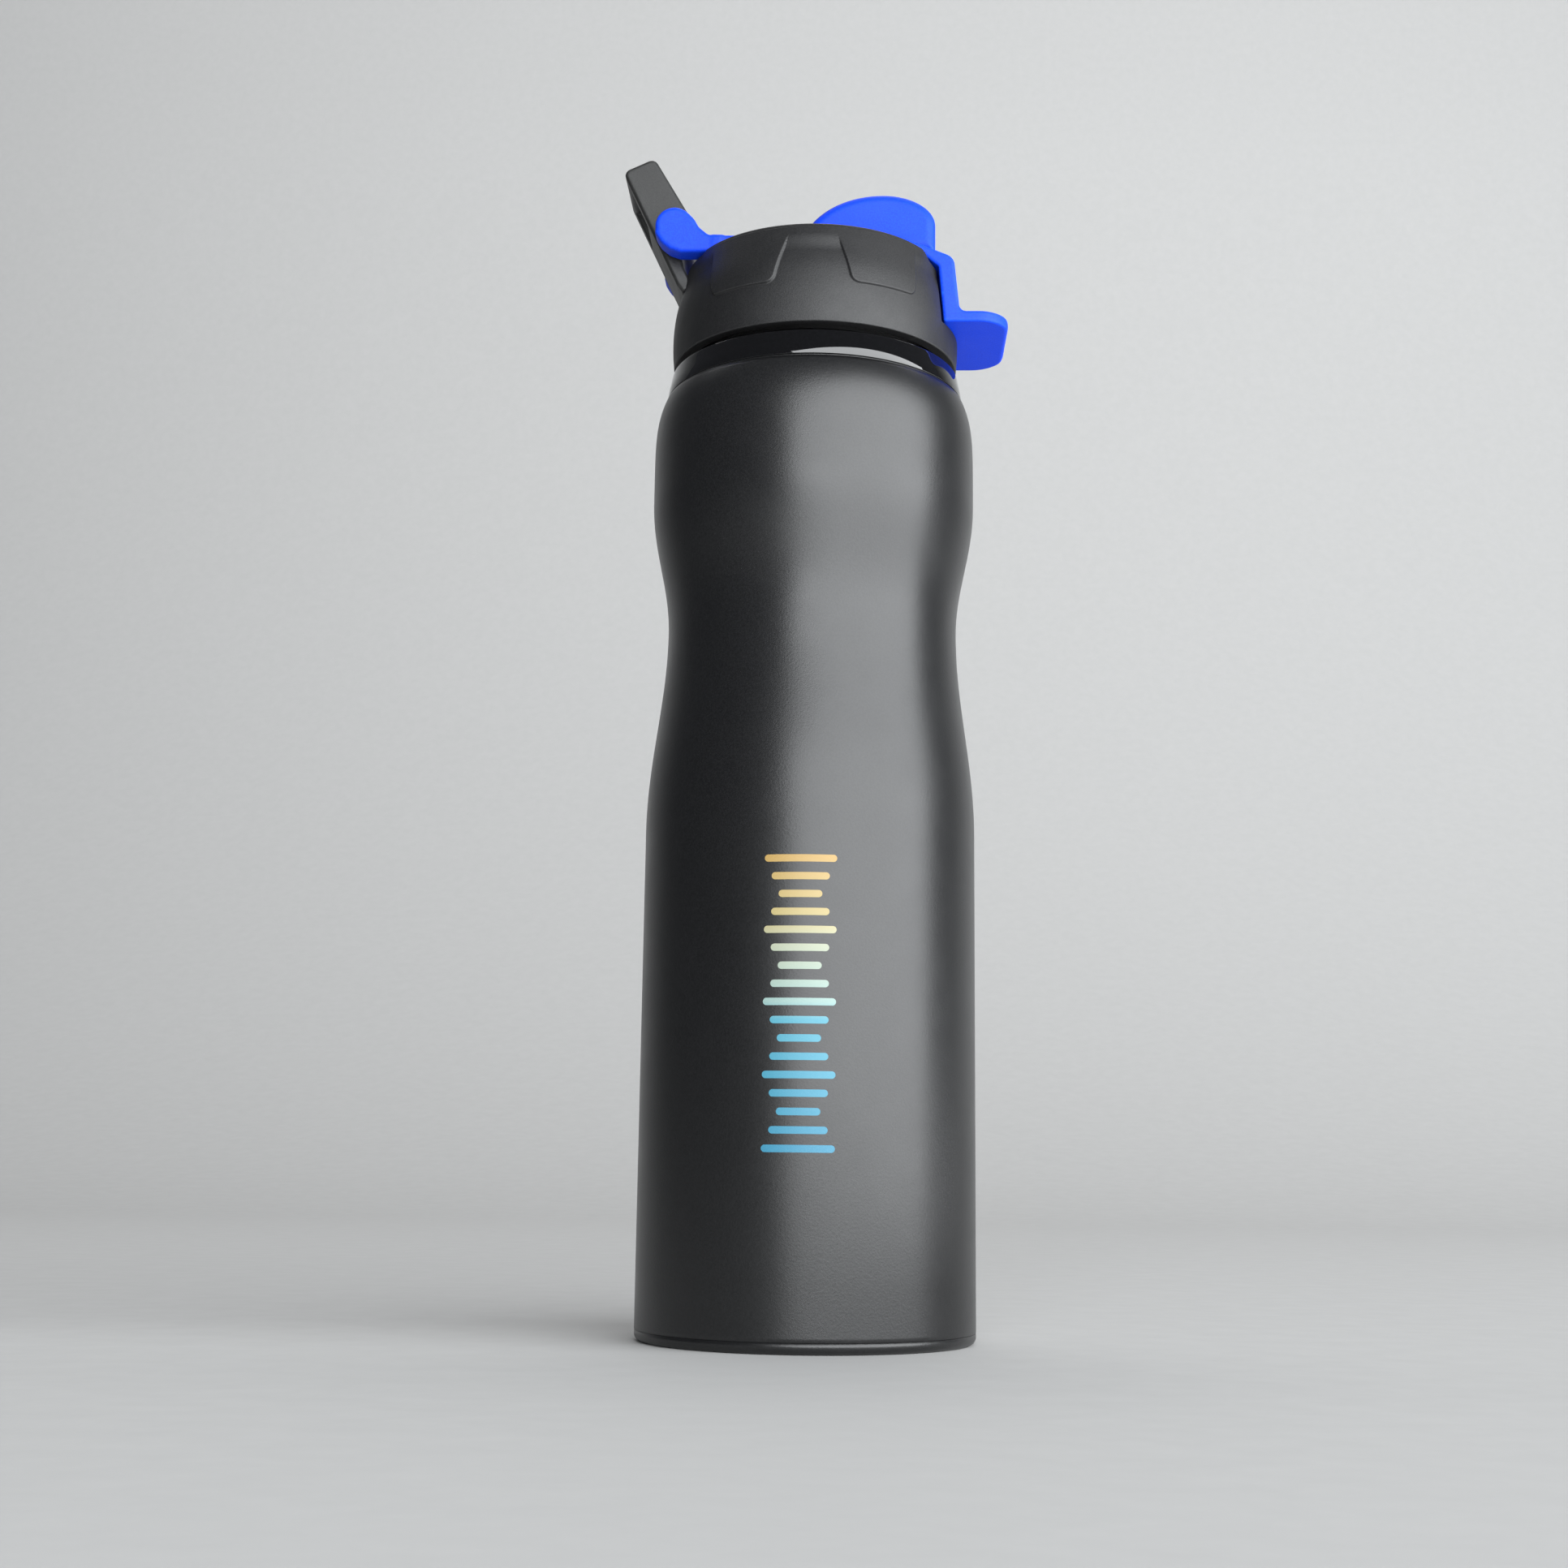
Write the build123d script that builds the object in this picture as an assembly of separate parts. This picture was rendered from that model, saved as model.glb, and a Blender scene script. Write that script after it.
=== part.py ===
from build123d import *
import math
import os

# Insulated bottle with a screw cap, a hinged drinking cover and a carry loop.
# Millimetres. +Z runs up the bottle's axis from the standing face, +X points to
# the drinking side (the finger tab), and -X to the carry loop.

# ---- body ------------------------------------------------------------------
BODY_R = 36.5            # outer radius at the base and at the upper bulge
BODY_H = 209.5           # height of the painted body, up to the collar ledge
WAIST_DOWN = 54.5        # narrowest point, below the ledge
WAIST_DROP = 4.0         # how much smaller the radius is at the waist
WAIST_BELOW = 46.0       # length of the blend under the waist
WAIST_ABOVE = 30.0       # length of the blend over the waist
SHOULDER_H = 19.5        # length of the rounded shoulder
SHOULDER_DROP = 2.6      # how much smaller the radius is at the ledge
SHOULDER_POWER = 4       # sharpness of the shoulder's turn
SHELL_T = 0.8            # outer wall
LINER_T = 0.6            # inner wall
VACUUM_GAP = 3.2         # space between the two walls
LINER_FLOOR_Z = 8.0      # underside of the liner
LINER_CORNER = 7.0       # radius of the liner's bottom corner
PROFILE_STEPS = 56       # points along the body's curve

# ---- base ------------------------------------------------------------------
BASE_EDGE_R = 1.6        # rounding of the standing edge
BASE_CUP_H = 2.4         # height of the pressed base
FOOT_W = 3.6             # width of the ring that the bottle stands on
EVAC_R = 1.5             # evacuation hole
PELLET_RIM = 0.9         # how far the sealing plug's head overlaps the hole
PELLET_HEAD_H = 0.6
BASE_COVER_R = 13.0      # spot-welded disc over the evacuation hole
BASE_COVER_T = 0.5
GETTER_R = 7.0
GETTER_T = 1.2
GETTER_X = 16.0

# ---- neck and collar -------------------------------------------------------
LEDGE_W = 10.5           # width of the ledge from the neck to the body's edge
LIP_T = 0.6              # thickness of the rolled lip
NECK_GAP = 1.0           # space between the two walls in the neck
THREAD_PITCH = 4.0
THREAD_DEPTH = 0.9
THREAD_ROOT_W = 2.0
THREAD_CREST_W = 0.9
THREAD_SINK = 0.3        # how far the thread's root reaches into the neck wall
THREAD_UP = 4.1          # start of the thread above the collar
THREAD_DOWN = 2.6        # end of the thread below the lip
COLLAR_H = 5.8
COLLAR_TAPER = 0.7       # how much smaller the radius is at the top
COLLAR_EDGE_R = 0.5
COLLAR_WALL = 2.2
COLLAR_LID = 1.8
CAP_GAP = 2.1            # open gap between collar and cap skirt

# ---- cap -------------------------------------------------------------------
CAP_H = 24.3             # bottom edge to rim
CAP_SKIRT_SET = 0.6      # skirt edge inside the collar's top edge
CAP_BELLY_OUT = 0.3      # belly outside the skirt edge
CAP_RIM_SET = 3.7        # plain surface at the rim inside the skirt edge
CAP_BELLY_LOW = 3.5      # height where the largest radius begins
CAP_BELLY_HIGH = 9.0     # height where the wall starts to lean in
CAP_BELLY_LEAN = 0.05    # lean of the wall at that height
CAP_SHOULDER_UP = 4.0    # next point of the curve above it
CAP_SHOULDER_LEAN = 0.55
CAP_BEND_DOWN = 4.3      # last point of the curve, below the rim
CAP_BEND_OUT = 1.45
CAP_SKIRT_WALL = 2.4
CAP_SKIRT_DEPTH = 5.2    # how far up the thin skirt reaches
CAP_STEP_H = 1.2         # slope from the thin skirt to the insert's seat
PANEL_RAISE = 0.6        # height of the grip panels and the rim band
PANEL_BOTTOM = 9.3       # panel's lower edge above the cap's bottom edge
BAND_H = 4.7             # height of the rim band
PANEL_CENTRE_DEG = 29.0  # panel centres, either side of the +Y and -Y faces
PANEL_HALF_LOW_DEG = 13.4
PANEL_HALF_HIGH_DEG = 16.1
PANEL_CORNER_R = 2.0
RIM_ROUND = 1.0
RIM_LIP_T = 1.9
DECK_DROP = 1.5          # top deck below the rim
DECK_T = 2.2
HEADROOM = 7.5           # insert's top to the deck's top
INSERT_UP = 1.6          # lower end of the insert above the cap's bottom edge
INSERT_WALL = 1.9
THREAD_CLEAR = 0.3       # neck thread crest to insert bore
INSERT_FLANGE_T = 2.0
INSERT_FLOW_R = 14.0
GASKET_T = 2.0
GASKET_IN = 2.6          # how far the gasket's inner edge is inside the neck wall
SEAL_CLEAR = 0.1         # axial gap between faces of separate moving bodies
FIT_CLEAR = 0.05         # radial gap between pieces fixed in each other

# ---- hinge and ears --------------------------------------------------------
PIN_BEHIND = 3.3         # hinge axis outside the cap's rim
PIN_UP = 7.8             # hinge axis above the deck
PIN_R = 1.25
PIN_RUNNING = 0.06       # radial clearance of the ears on the pin
PIN_END_CLEAR = 0.2      # pin's end to the closed end of the ear's bore
EAR_WALL = 3.05          # round lobe outside the pin
EAR_SKIN = 1.6           # closed outer end of the ear's bore
EAR_CLEAR = 0.4          # side gap between ears and loop
EAR_CROWN = 0.2          # rise of the hook where it leaves the plate
# Hook of an ear, as (x, z) from the hinge axis: lower edge, then upper edge.
EAR_LOWER = [(-3.9, -1.8), (-2.8, -4.1), (-1.1, -5.7)]
EAR_ROOT_X = 1.4
EAR_UPPER = [(5.8, -0.6), (3.7, 2.2), (0.0, 0.0)]
EAR_BEND_X = 7.9

# ---- carry loop ------------------------------------------------------------
LOOP_HALF_W = 9.5
LOOP_OUT = 12.7          # outermost corner behind the hinge axis, before rounding
LOOP_UP = 19.3           # top corner above the hinge axis
LOOP_TIP_H = 3.4         # outermost corner below the top corner
LOOP_TIP_BACK = 5.4      # top corner behind the hinge axis
LOOP_LEAN_OUT = 0.47     # outward travel of the outer face per mm of height
LOOP_ROOT_DOWN = 4.2     # bottom of the outer face below the deck
LOOP_ROOT_CUT = 1.2      # slanted cut under it
LOOP_HOLE_HALF_W = 5.7
LOOP_HOLE_UP = 4.2       # hole's lower edge above the hinge axis
LOOP_HOLE_H = 8.4
LOOP_ROUND = 1.6
LOOP_NECK_SET = 2.0      # inner side of the loop's neck, inside the hinge axis
# Inner face of the loop round the hinge, as (x, z) from the hinge axis.
LOOP_INNER = [(3.8, 3.6), (4.2, 0.5), (3.4, -2.4), (1.3, -4.4)]
TONGUE_LEN = 9.4         # tongue inside the loop's neck
TONGUE_T = 2.6
TONGUE_BOSS = 1.2        # boss between the tongue and the deck
LOOP_SCREW_R = 1.3
LOOP_SCREW_HEAD_R = 1.9
LOOP_SCREW_HEAD_T = 1.1
LOOP_SCREW_Y = 5.0
LOOP_SCREW_IN = 2.4      # screws from the tongue's inner end
LOOP_SCREW_BITE = 2.6    # length in the deck's boss

# ---- flip cover ------------------------------------------------------------
COVER_GAP = 1.2          # deck to the plate's underside
COVER_T = 4.0
COVER_REAR = 8.8         # plate's rear edge in front of the hinge axis
STRAP_HALF_W = 15.5
STRAP_GAP = 0.5          # strap to the flat in the cap's front
FRONT_WALL = 1.05        # cap wall left behind that flat
STRAP_T = 3.5
STRAP_LOW_T = 3.6        # strap's thickness at the tab
STRAP_LEAN = 1.2         # how far out the strap's lower end leans
CHAMFER_RUN = 13.0       # front chamfer, along X and down
CHAMFER_DROP = 5.4
CHAMFER_IN_RUN = 4.25    # the same inside
CHAMFER_IN_DROP = 3.5
CHAMFER_GAP_SLOPE = 0.2  # how the gap under the chamfer narrows
TAB_RISE = 7.2           # underside of the finger tab above the cap's edge
TAB_T = 2.5
TAB_LEN = 11.5
TAB_CORNER_R = 8.0
NOTCH_CLEAR = 0.6        # side gap of the strap and the ears in the cap

# ---- spout, plug, dome, vent -----------------------------------------------
SPOUT_R = 7.6
SPOUT_WALL = 2.0
SPOUT_H = 9.6            # deck to the spout's top
SPOUT_TOP_R = 1.2        # rounding of the spout's top
SPOUT_FLANGE_W = 1.4
SPOUT_FLANGE_T = 1.0
SPOUT_TAIL = 3.2
SPOUT_NUT_H = 1.6
SPOUT_BACK = 5.2         # spout's side to the inside of the dome's front
PLUG_SET = 0.4           # plug's disc inside the spout's side
PLUG_T = 2.4
PLUG_TIP_CLEAR = 1.4     # plug's tip inside the spout's bore
PLUG_TIP_TAPER = 0.8
PLUG_TIP_H = 2.8
PLUG_BOSS_R = 3.0
PLUG_POCKET = 1.2
DOME_OVER = 7.7          # dome's top above the spout's top
DOME_PEAK = 2.5          # dome's highest point in front of the spout's axis
DOME_FRONT_SET = 4.0     # dome's front behind the strap's outer face
DOME_FRONT_DROP = 7.4
DOME_BACK_ROOM = 8.7     # spout's rear side to the dome's rear end
DOME_SIDE = 2.1          # spout's side to the dome's inner side
DOME_ROUND = 2.4
DOME_WALL = 1.8
DOME_FOOT = 1.5          # depth of the dome's foot in the plate
DOME_FOOT_ROOM = 4.0     # cavity's front edge behind the dome's inner front
DOME_STEPS = 14          # points along each half of the dome's curve
VENT_BACK = 22.0         # vent behind the spout
VENT_HOLE_R = 1.6
VENT_CAP_R = 4.2
VENT_CAP_T = 0.7
VENT_BULB_R = 2.3
VENT_BULB_H = 1.6

SINK = 0.5               # how far joined blanks reach into each other
FAR = 500.0              # larger than the part

# ---- radii and heights that follow -----------------------------------------
WAIST_Z = BODY_H - WAIST_DOWN
COLLAR_TOP_Z = BODY_H + COLLAR_H
CAP_Z = COLLAR_TOP_Z + CAP_GAP
RIM_Z = CAP_Z + CAP_H
DECK_Z = RIM_Z - DECK_DROP
DECK_UNDER_Z = DECK_Z - DECK_T
INSERT_TOP_Z = DECK_Z - HEADROOM
FLANGE_Z = INSERT_TOP_Z - INSERT_FLANGE_T
GASKET_Z = FLANGE_Z - GASKET_T
LIP_Z = GASKET_Z - SEAL_CLEAR
NECK_TOP_Z = LIP_Z - LIP_T
THREAD_START_Z = COLLAR_TOP_Z + THREAD_UP
THREAD_H = NECK_TOP_Z - THREAD_DOWN - THREAD_START_Z
BASE_RECESS_Z = BASE_CUP_H - SHELL_T
LEDGE_R = BODY_R - SHOULDER_DROP
COLLAR_TOP_R = LEDGE_R - COLLAR_TAPER
NECK_R = LEDGE_R - LEDGE_W
NECK_BORE_R = NECK_R - SHELL_T
LINER_NECK_R = NECK_BORE_R - NECK_GAP
THREAD_R = NECK_R + THREAD_DEPTH
INSERT_BORE_R = THREAD_R + THREAD_CLEAR
INSERT_R = INSERT_BORE_R + INSERT_WALL
CAP_BORE_R = INSERT_R + FIT_CLEAR
CAP_SKIRT_R = COLLAR_TOP_R - CAP_SKIRT_SET
CAP_BELLY_R = CAP_SKIRT_R + CAP_BELLY_OUT
CAP_RIM_R = CAP_SKIRT_R - CAP_RIM_SET
BAND_Z = RIM_Z - BAND_H
RIM_LIP_IN = CAP_RIM_R + PANEL_RAISE - RIM_LIP_T

# ---- cover, loop and spout places that follow ------------------------------
COVER_UNDER_Z = DECK_Z + COVER_GAP
COVER_TOP_Z = COVER_UNDER_Z + COVER_T
STRAP_IN_X = CAP_BORE_R + FRONT_WALL + STRAP_GAP
STRAP_OUT_X = STRAP_IN_X + STRAP_T
STRAP_IN_LOW_X = STRAP_IN_X + STRAP_LEAN
STRAP_OUT_LOW_X = STRAP_IN_LOW_X + STRAP_LOW_T
CHAMFER_X = STRAP_OUT_X - CHAMFER_RUN
CHAMFER_IN_X = STRAP_IN_X - CHAMFER_IN_RUN
CHAMFER_Z = COVER_TOP_Z - CHAMFER_DROP
CHAMFER_IN_Z = COVER_UNDER_Z - CHAMFER_IN_DROP
TAB_Z = CAP_Z + TAB_RISE
TAB_TOP_Z = TAB_Z + TAB_T
TAB_X = STRAP_OUT_LOW_X + TAB_LEN
NOTCH_HALF_W = STRAP_HALF_W + NOTCH_CLEAR
RIM_CHORD_X = math.sqrt(RIM_LIP_IN ** 2 - NOTCH_HALF_W ** 2)  # where the notch meets the lip
PIN_X = -(CAP_RIM_R + PIN_BEHIND)
PIN_Z = DECK_Z + PIN_UP
EAR_BORE_HALF = STRAP_HALF_W - EAR_SKIN
EAR_LOBE_R = PIN_R + EAR_WALL
EAR_IN = LOOP_HALF_W + EAR_CLEAR
COVER_REAR_X = PIN_X + COVER_REAR
LOOP_TOP_Z = PIN_Z + LOOP_UP
LOOP_TIP_X = PIN_X - LOOP_OUT
LOOP_TIP_Z = LOOP_TOP_Z - LOOP_TIP_H
LOOP_ROOT_Z = DECK_Z - LOOP_ROOT_DOWN
LOOP_HOLE_Z = PIN_Z + LOOP_HOLE_UP
LOOP_NECK_X = PIN_X + LOOP_NECK_SET
TONGUE_X = LOOP_NECK_X + TONGUE_LEN
TONGUE_TOP_Z = DECK_UNDER_Z - TONGUE_BOSS
TONGUE_Z = TONGUE_TOP_Z - TONGUE_T
LOOP_SCREW_X = TONGUE_X - LOOP_SCREW_IN
SPOUT_TOP_Z = DECK_Z + SPOUT_H
SPOUT_BORE_R = SPOUT_R - SPOUT_WALL
SPOUT_FLANGE_R = SPOUT_R + SPOUT_FLANGE_W
DOME_FRONT_X = STRAP_OUT_X - DOME_FRONT_SET
SPOUT_X = DOME_FRONT_X - DOME_WALL - SPOUT_BACK - SPOUT_R
DOME_PEAK_X = SPOUT_X + DOME_PEAK
DOME_BACK_LEN = DOME_PEAK + SPOUT_R + DOME_BACK_ROOM
DOME_TOP_Z = SPOUT_TOP_Z + DOME_OVER
DOME_HALF_W = SPOUT_R + DOME_SIDE + DOME_WALL
PLUG_Z = SPOUT_TOP_Z + SEAL_CLEAR
PLUG_TOP_Z = PLUG_Z + PLUG_T
PLUG_R = SPOUT_R - PLUG_SET
PLUG_TIP_R = SPOUT_BORE_R - PLUG_TIP_CLEAR
VENT_X = SPOUT_X - VENT_BACK


def body_radius(z):
    """Outer radius of the painted body at height z."""
    blend = WAIST_BELOW if z < WAIST_Z else WAIST_ABOVE
    t = min(1.0, abs(z - WAIST_Z) / blend)
    r = BODY_R - WAIST_DROP * math.cos(t * math.pi / 2) ** 2
    start = BODY_H - SHOULDER_H
    if z > start:
        r -= SHOULDER_DROP * ((z - start) / SHOULDER_H) ** SHOULDER_POWER
    return r


def xz(points):
    """Face in the XZ plane through the given (x, z) corners."""
    return make_face(Polyline([(x, 0, z) for x, z in points], close=True))


def turned(points):
    """Solid of revolution about Z of a closed (r, z) outline."""
    return revolve(xz(points), Axis.Z, 360)


def ring(r_in, r_out, z0, z1):
    """Plain ring, or a disc when r_in is 0."""
    return turned([(r_in, z0), (r_out, z0), (r_out, z1), (r_in, z1)])


def slab(points, half_w, inner=0.0):
    """Prism of an (x, z) outline for |y| from inner to half_w, both sides."""
    face = xz(points)
    if inner == 0.0:
        return extrude(face, half_w, dir=(0, 1, 0), both=True)
    far = extrude(Pos(0, inner, 0) * face, half_w - inner, dir=(0, 1, 0))
    near = extrude(Pos(0, -inner, 0) * face, half_w - inner, dir=(0, -1, 0))
    return Part() + [far, near]


def box(x0, x1, y0, y1, z0, z1):
    """Box by its limits."""
    size = (x1 - x0, y1 - y0, z1 - z0)
    return Pos((x0 + x1) / 2, (y0 + y1) / 2, (z0 + z1) / 2) * Box(*size)


def stub(r, z0, z1, x=0.0, y=0.0):
    """Upright round bar."""
    return Pos(x, y, z0) * extrude(Circle(r), z1 - z0)


def cross_bar(r, x, z, half_w):
    """Round bar along Y."""
    face = Plane((x, 0, z), x_dir=(1, 0, 0), z_dir=(0, 1, 0)) * Circle(r)
    return extrude(face, half_w, both=True)


def curved_turn(curve, rest):
    """Solid of revolution of a smooth (r, z) curve closed by straight sides."""
    edge = Spline([(r, 0, z) for r, z in curve])
    sides = Polyline([(r, 0, z) for r, z in [curve[-1], *rest, curve[0]]])
    return revolve(make_face([edge, *sides.edges()]), Axis.Z, 360)


def body_blank(inset, z0, z1):
    """Solid inside the body's curve, drawn in by inset."""
    heights = [z0 + (z1 - z0) * i / PROFILE_STEPS for i in range(PROFILE_STEPS + 1)]
    curve = [(body_radius(z) - inset, z) for z in heights]
    return curved_turn(curve, [(0, z1), (0, z0)])


# ---- steel body ------------------------------------------------------------
def outer_shell():
    """Painted outer wall, its ledge and the threaded neck."""
    shell = body_blank(0, BASE_CUP_H, BODY_H)
    shell -= body_blank(SHELL_T, BASE_CUP_H - SINK, BODY_H - SHELL_T)
    shell += ring(NECK_BORE_R, NECK_R, BODY_H - SHELL_T, NECK_TOP_Z)
    shell -= ring(0, NECK_BORE_R, BODY_H - SHELL_T - SINK, NECK_TOP_Z + SINK)
    return shell + neck_thread()


def neck_thread():
    """Raised helical thread on the neck."""
    path = Pos(0, 0, THREAD_START_Z) * Helix(THREAD_PITCH, THREAD_H, NECK_R)
    root = NECK_R - THREAD_SINK
    z = THREAD_START_Z
    section = xz([
        (root, z - THREAD_ROOT_W / 2),
        (THREAD_R, z - THREAD_CREST_W / 2),
        (THREAD_R, z + THREAD_CREST_W / 2),
        (root, z + THREAD_ROOT_W / 2),
    ])
    return sweep(section, path=path, is_frenet=True)


def base_cup():
    """Pressed base: rounded standing edge, foot ring and raised middle."""
    outer = body_radius(BASE_CUP_H)
    foot_in = outer - BASE_EDGE_R - FOOT_W
    rest = Polyline([
        (outer - BASE_EDGE_R, 0, 0),
        (foot_in, 0, 0),
        (foot_in - BASE_RECESS_Z, 0, BASE_RECESS_Z),
        (0, 0, BASE_RECESS_Z),
        (0, 0, BASE_CUP_H),
        (outer, 0, BASE_CUP_H),
        (outer, 0, BASE_EDGE_R),
    ])
    arc = ThreePointArc(
        (outer, 0, BASE_EDGE_R),
        (outer - BASE_EDGE_R * (1 - math.sqrt(0.5)), 0, BASE_EDGE_R * (1 - math.sqrt(0.5))),
        (outer - BASE_EDGE_R, 0, 0),
    )
    cup = revolve(make_face([arc, *rest.edges()]), Axis.Z, 360)
    return cup - stub(EVAC_R, -SINK, BASE_CUP_H + SINK)


def seal_pellet():
    """Sealed-in plug of the evacuation hole."""
    head = stub(EVAC_R + PELLET_RIM, BASE_CUP_H, BASE_CUP_H + PELLET_HEAD_H)
    return stub(EVAC_R, BASE_RECESS_Z, BASE_CUP_H) + head


def inner_liner():
    """Drinking vessel with its own neck and the lip that joins the outer wall."""
    inset = SHELL_T + VACUUM_GAP
    top = BODY_H - SHELL_T - VACUUM_GAP
    vessel = body_blank(inset, LINER_FLOOR_Z, top)
    vessel = fillet(vessel.edges().sort_by(Axis.Z)[0], LINER_CORNER)
    hollow = body_blank(inset + LINER_T, LINER_FLOOR_Z + LINER_T, top - LINER_T)
    hollow = fillet(hollow.edges().sort_by(Axis.Z)[0], LINER_CORNER - LINER_T)
    liner = vessel - hollow
    liner += ring(LINER_NECK_R - LINER_T, LINER_NECK_R, top - LINER_T, LIP_Z)
    liner += ring(LINER_NECK_R - LINER_T, NECK_R, NECK_TOP_Z, LIP_Z)
    bore = LINER_NECK_R - LINER_T
    return liner - ring(0, bore, top - LINER_T - SINK, LIP_Z + SINK)


def neck_collar():
    """Glossy ring on the ledge, hollow underneath."""
    bore = NECK_R + FIT_CLEAR
    collar = turned([
        (bore, BODY_H), (LEDGE_R, BODY_H),
        (COLLAR_TOP_R, COLLAR_TOP_Z), (bore, COLLAR_TOP_Z),
    ])
    top_edge = collar.edges().group_by(Axis.Z)[-1].sort_by(SortBy.LENGTH)[-1]
    collar = fillet(top_edge, COLLAR_EDGE_R)
    groove = ring(bore + COLLAR_WALL, COLLAR_TOP_R - COLLAR_WALL,
                  BODY_H - SINK, COLLAR_TOP_Z - COLLAR_LID)
    return collar - groove


# ---- cap -------------------------------------------------------------------
def cap_curve(offset):
    """Outline of the cap's bell, pushed out by offset."""
    return [
        (CAP_SKIRT_R + offset, CAP_Z),
        (CAP_BELLY_R + offset, CAP_Z + CAP_BELLY_LOW),
        (CAP_BELLY_R + offset - CAP_BELLY_LEAN, CAP_Z + CAP_BELLY_HIGH),
        (CAP_BELLY_R + offset - CAP_SHOULDER_LEAN, CAP_Z + CAP_BELLY_HIGH + CAP_SHOULDER_UP),
        (CAP_RIM_R + offset + CAP_BEND_OUT, RIM_Z - CAP_BEND_DOWN),
        (CAP_RIM_R + offset, RIM_Z),
    ]


def bell(offset):
    """Solid bell of the cap's outside."""
    return curved_turn(cap_curve(offset), [(0, RIM_Z), (0, CAP_Z)])


def grip_panel(angle):
    """Radial prism of one grip panel, wider at the top."""
    low = CAP_BELLY_R * math.tan(math.radians(PANEL_HALF_LOW_DEG))
    high = CAP_BELLY_R * math.tan(math.radians(PANEL_HALF_HIGH_DEG))
    z0 = CAP_Z + PANEL_BOTTOM
    z1 = BAND_Z + SINK
    plane = Plane((0, 0, 0), x_dir=(1, 0, 0), z_dir=(0, -1, 0))
    outline = make_face(Polyline([(-low, z0), (low, z0), (high, z1), (-high, z1)], close=True))
    outline = fillet(outline.vertices().group_by(Axis.Y)[0], PANEL_CORNER_R)
    prism = extrude(plane * outline, FAR)
    return Rot(0, 0, angle) * prism


def raised_layer():
    """Rim band and the four grip panels that hang from it."""
    skin = bell(PANEL_RAISE) - ring(0, CAP_BORE_R, CAP_Z - SINK, RIM_Z + SINK)
    pieces = [skin & ring(0, FAR, BAND_Z, RIM_Z)]
    for side in (0, 180):
        for turn in (-PANEL_CENTRE_DEG, PANEL_CENTRE_DEG):
            pieces.append(skin & grip_panel(side + turn))
    return pieces


def strap_gap_cut():
    """Room for the cover's strap: chamfered front and a flat down the wall."""
    x_low = STRAP_IN_LOW_X - STRAP_GAP
    x_high = STRAP_IN_X - STRAP_GAP
    x_deck = CHAMFER_IN_X - STRAP_GAP - COVER_GAP * CHAMFER_GAP_SLOPE
    x_rim = min(RIM_CHORD_X, x_deck) - SINK
    low_z = TAB_Z - STRAP_GAP
    return slab([
        (x_low, low_z), (FAR, low_z), (FAR, RIM_Z + SINK),
        (x_rim, RIM_Z + SINK), (x_rim, DECK_Z),
        (x_deck + SINK, DECK_Z), (x_high, CHAMFER_IN_Z - STRAP_GAP),
    ], NOTCH_HALF_W)


def cap_shell():
    """Moulded outside of the cap, with deck, rim, notch and front flat."""
    shell = bell(0) + raised_layer()
    rim = shell.edges().group_by(Axis.Z)[-1]
    shell = fillet(rim, RIM_ROUND)
    skirt_r = CAP_SKIRT_R - CAP_SKIRT_WALL
    step_z = CAP_Z + CAP_SKIRT_DEPTH
    shell -= turned([
        (0, CAP_Z - SINK), (skirt_r, CAP_Z - SINK), (skirt_r, step_z),
        (CAP_BORE_R, step_z + CAP_STEP_H), (CAP_BORE_R, DECK_UNDER_Z), (0, DECK_UNDER_Z),
    ])
    shell -= ring(0, RIM_LIP_IN, DECK_Z, RIM_Z + SINK)
    shell -= box(-FAR, SINK - RIM_CHORD_X, -NOTCH_HALF_W, NOTCH_HALF_W,
                 DECK_Z, RIM_Z + SINK)
    shell -= strap_gap_cut()
    shell += box(-CAP_BORE_R - SINK, TONGUE_X, -LOOP_HALF_W, LOOP_HALF_W,
                 TONGUE_TOP_Z, DECK_UNDER_Z + SINK)
    shell -= stub(SPOUT_R, DECK_UNDER_Z - SINK, DECK_Z + SINK, SPOUT_X)
    shell -= stub(VENT_HOLE_R, DECK_UNDER_Z - SINK, DECK_Z + SINK, VENT_X)
    shell -= loop_blank()
    for y in (-LOOP_SCREW_Y, LOOP_SCREW_Y):
        top = TONGUE_TOP_Z + LOOP_SCREW_BITE
        shell -= stub(LOOP_SCREW_R, TONGUE_Z - SINK, top, LOOP_SCREW_X, y)
    return shell


def thread_insert():
    """Inner ring that runs over the neck thread, with a flange over the gasket."""
    ring_wall = ring(INSERT_BORE_R, INSERT_R, CAP_Z + INSERT_UP, INSERT_TOP_Z)
    return ring_wall + ring(INSERT_FLOW_R, INSERT_R, FLANGE_Z, INSERT_TOP_Z)


def cap_gasket():
    """Silicone ring that seals on the steel lip."""
    return ring(NECK_BORE_R - GASKET_IN, INSERT_BORE_R - FIT_CLEAR, GASKET_Z, FLANGE_Z)


# ---- carry loop ------------------------------------------------------------
def loop_outline():
    """Side outline of the loop from its tip down to the tongue and the wall."""
    root_x = LOOP_TIP_X + (LOOP_TIP_Z - LOOP_ROOT_Z) * LOOP_LEAN_OUT
    return [
        (LOOP_TIP_X, LOOP_TIP_Z), (PIN_X - LOOP_TIP_BACK, LOOP_TOP_Z),
        *[(PIN_X + x, PIN_Z + z) for x, z in LOOP_INNER],
        (LOOP_NECK_X, DECK_Z), (LOOP_NECK_X, TONGUE_TOP_Z),
        (TONGUE_X, TONGUE_TOP_Z), (TONGUE_X, TONGUE_Z),
        (root_x + LOOP_ROOT_CUT, TONGUE_Z), (root_x, LOOP_ROOT_Z),
    ]


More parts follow.
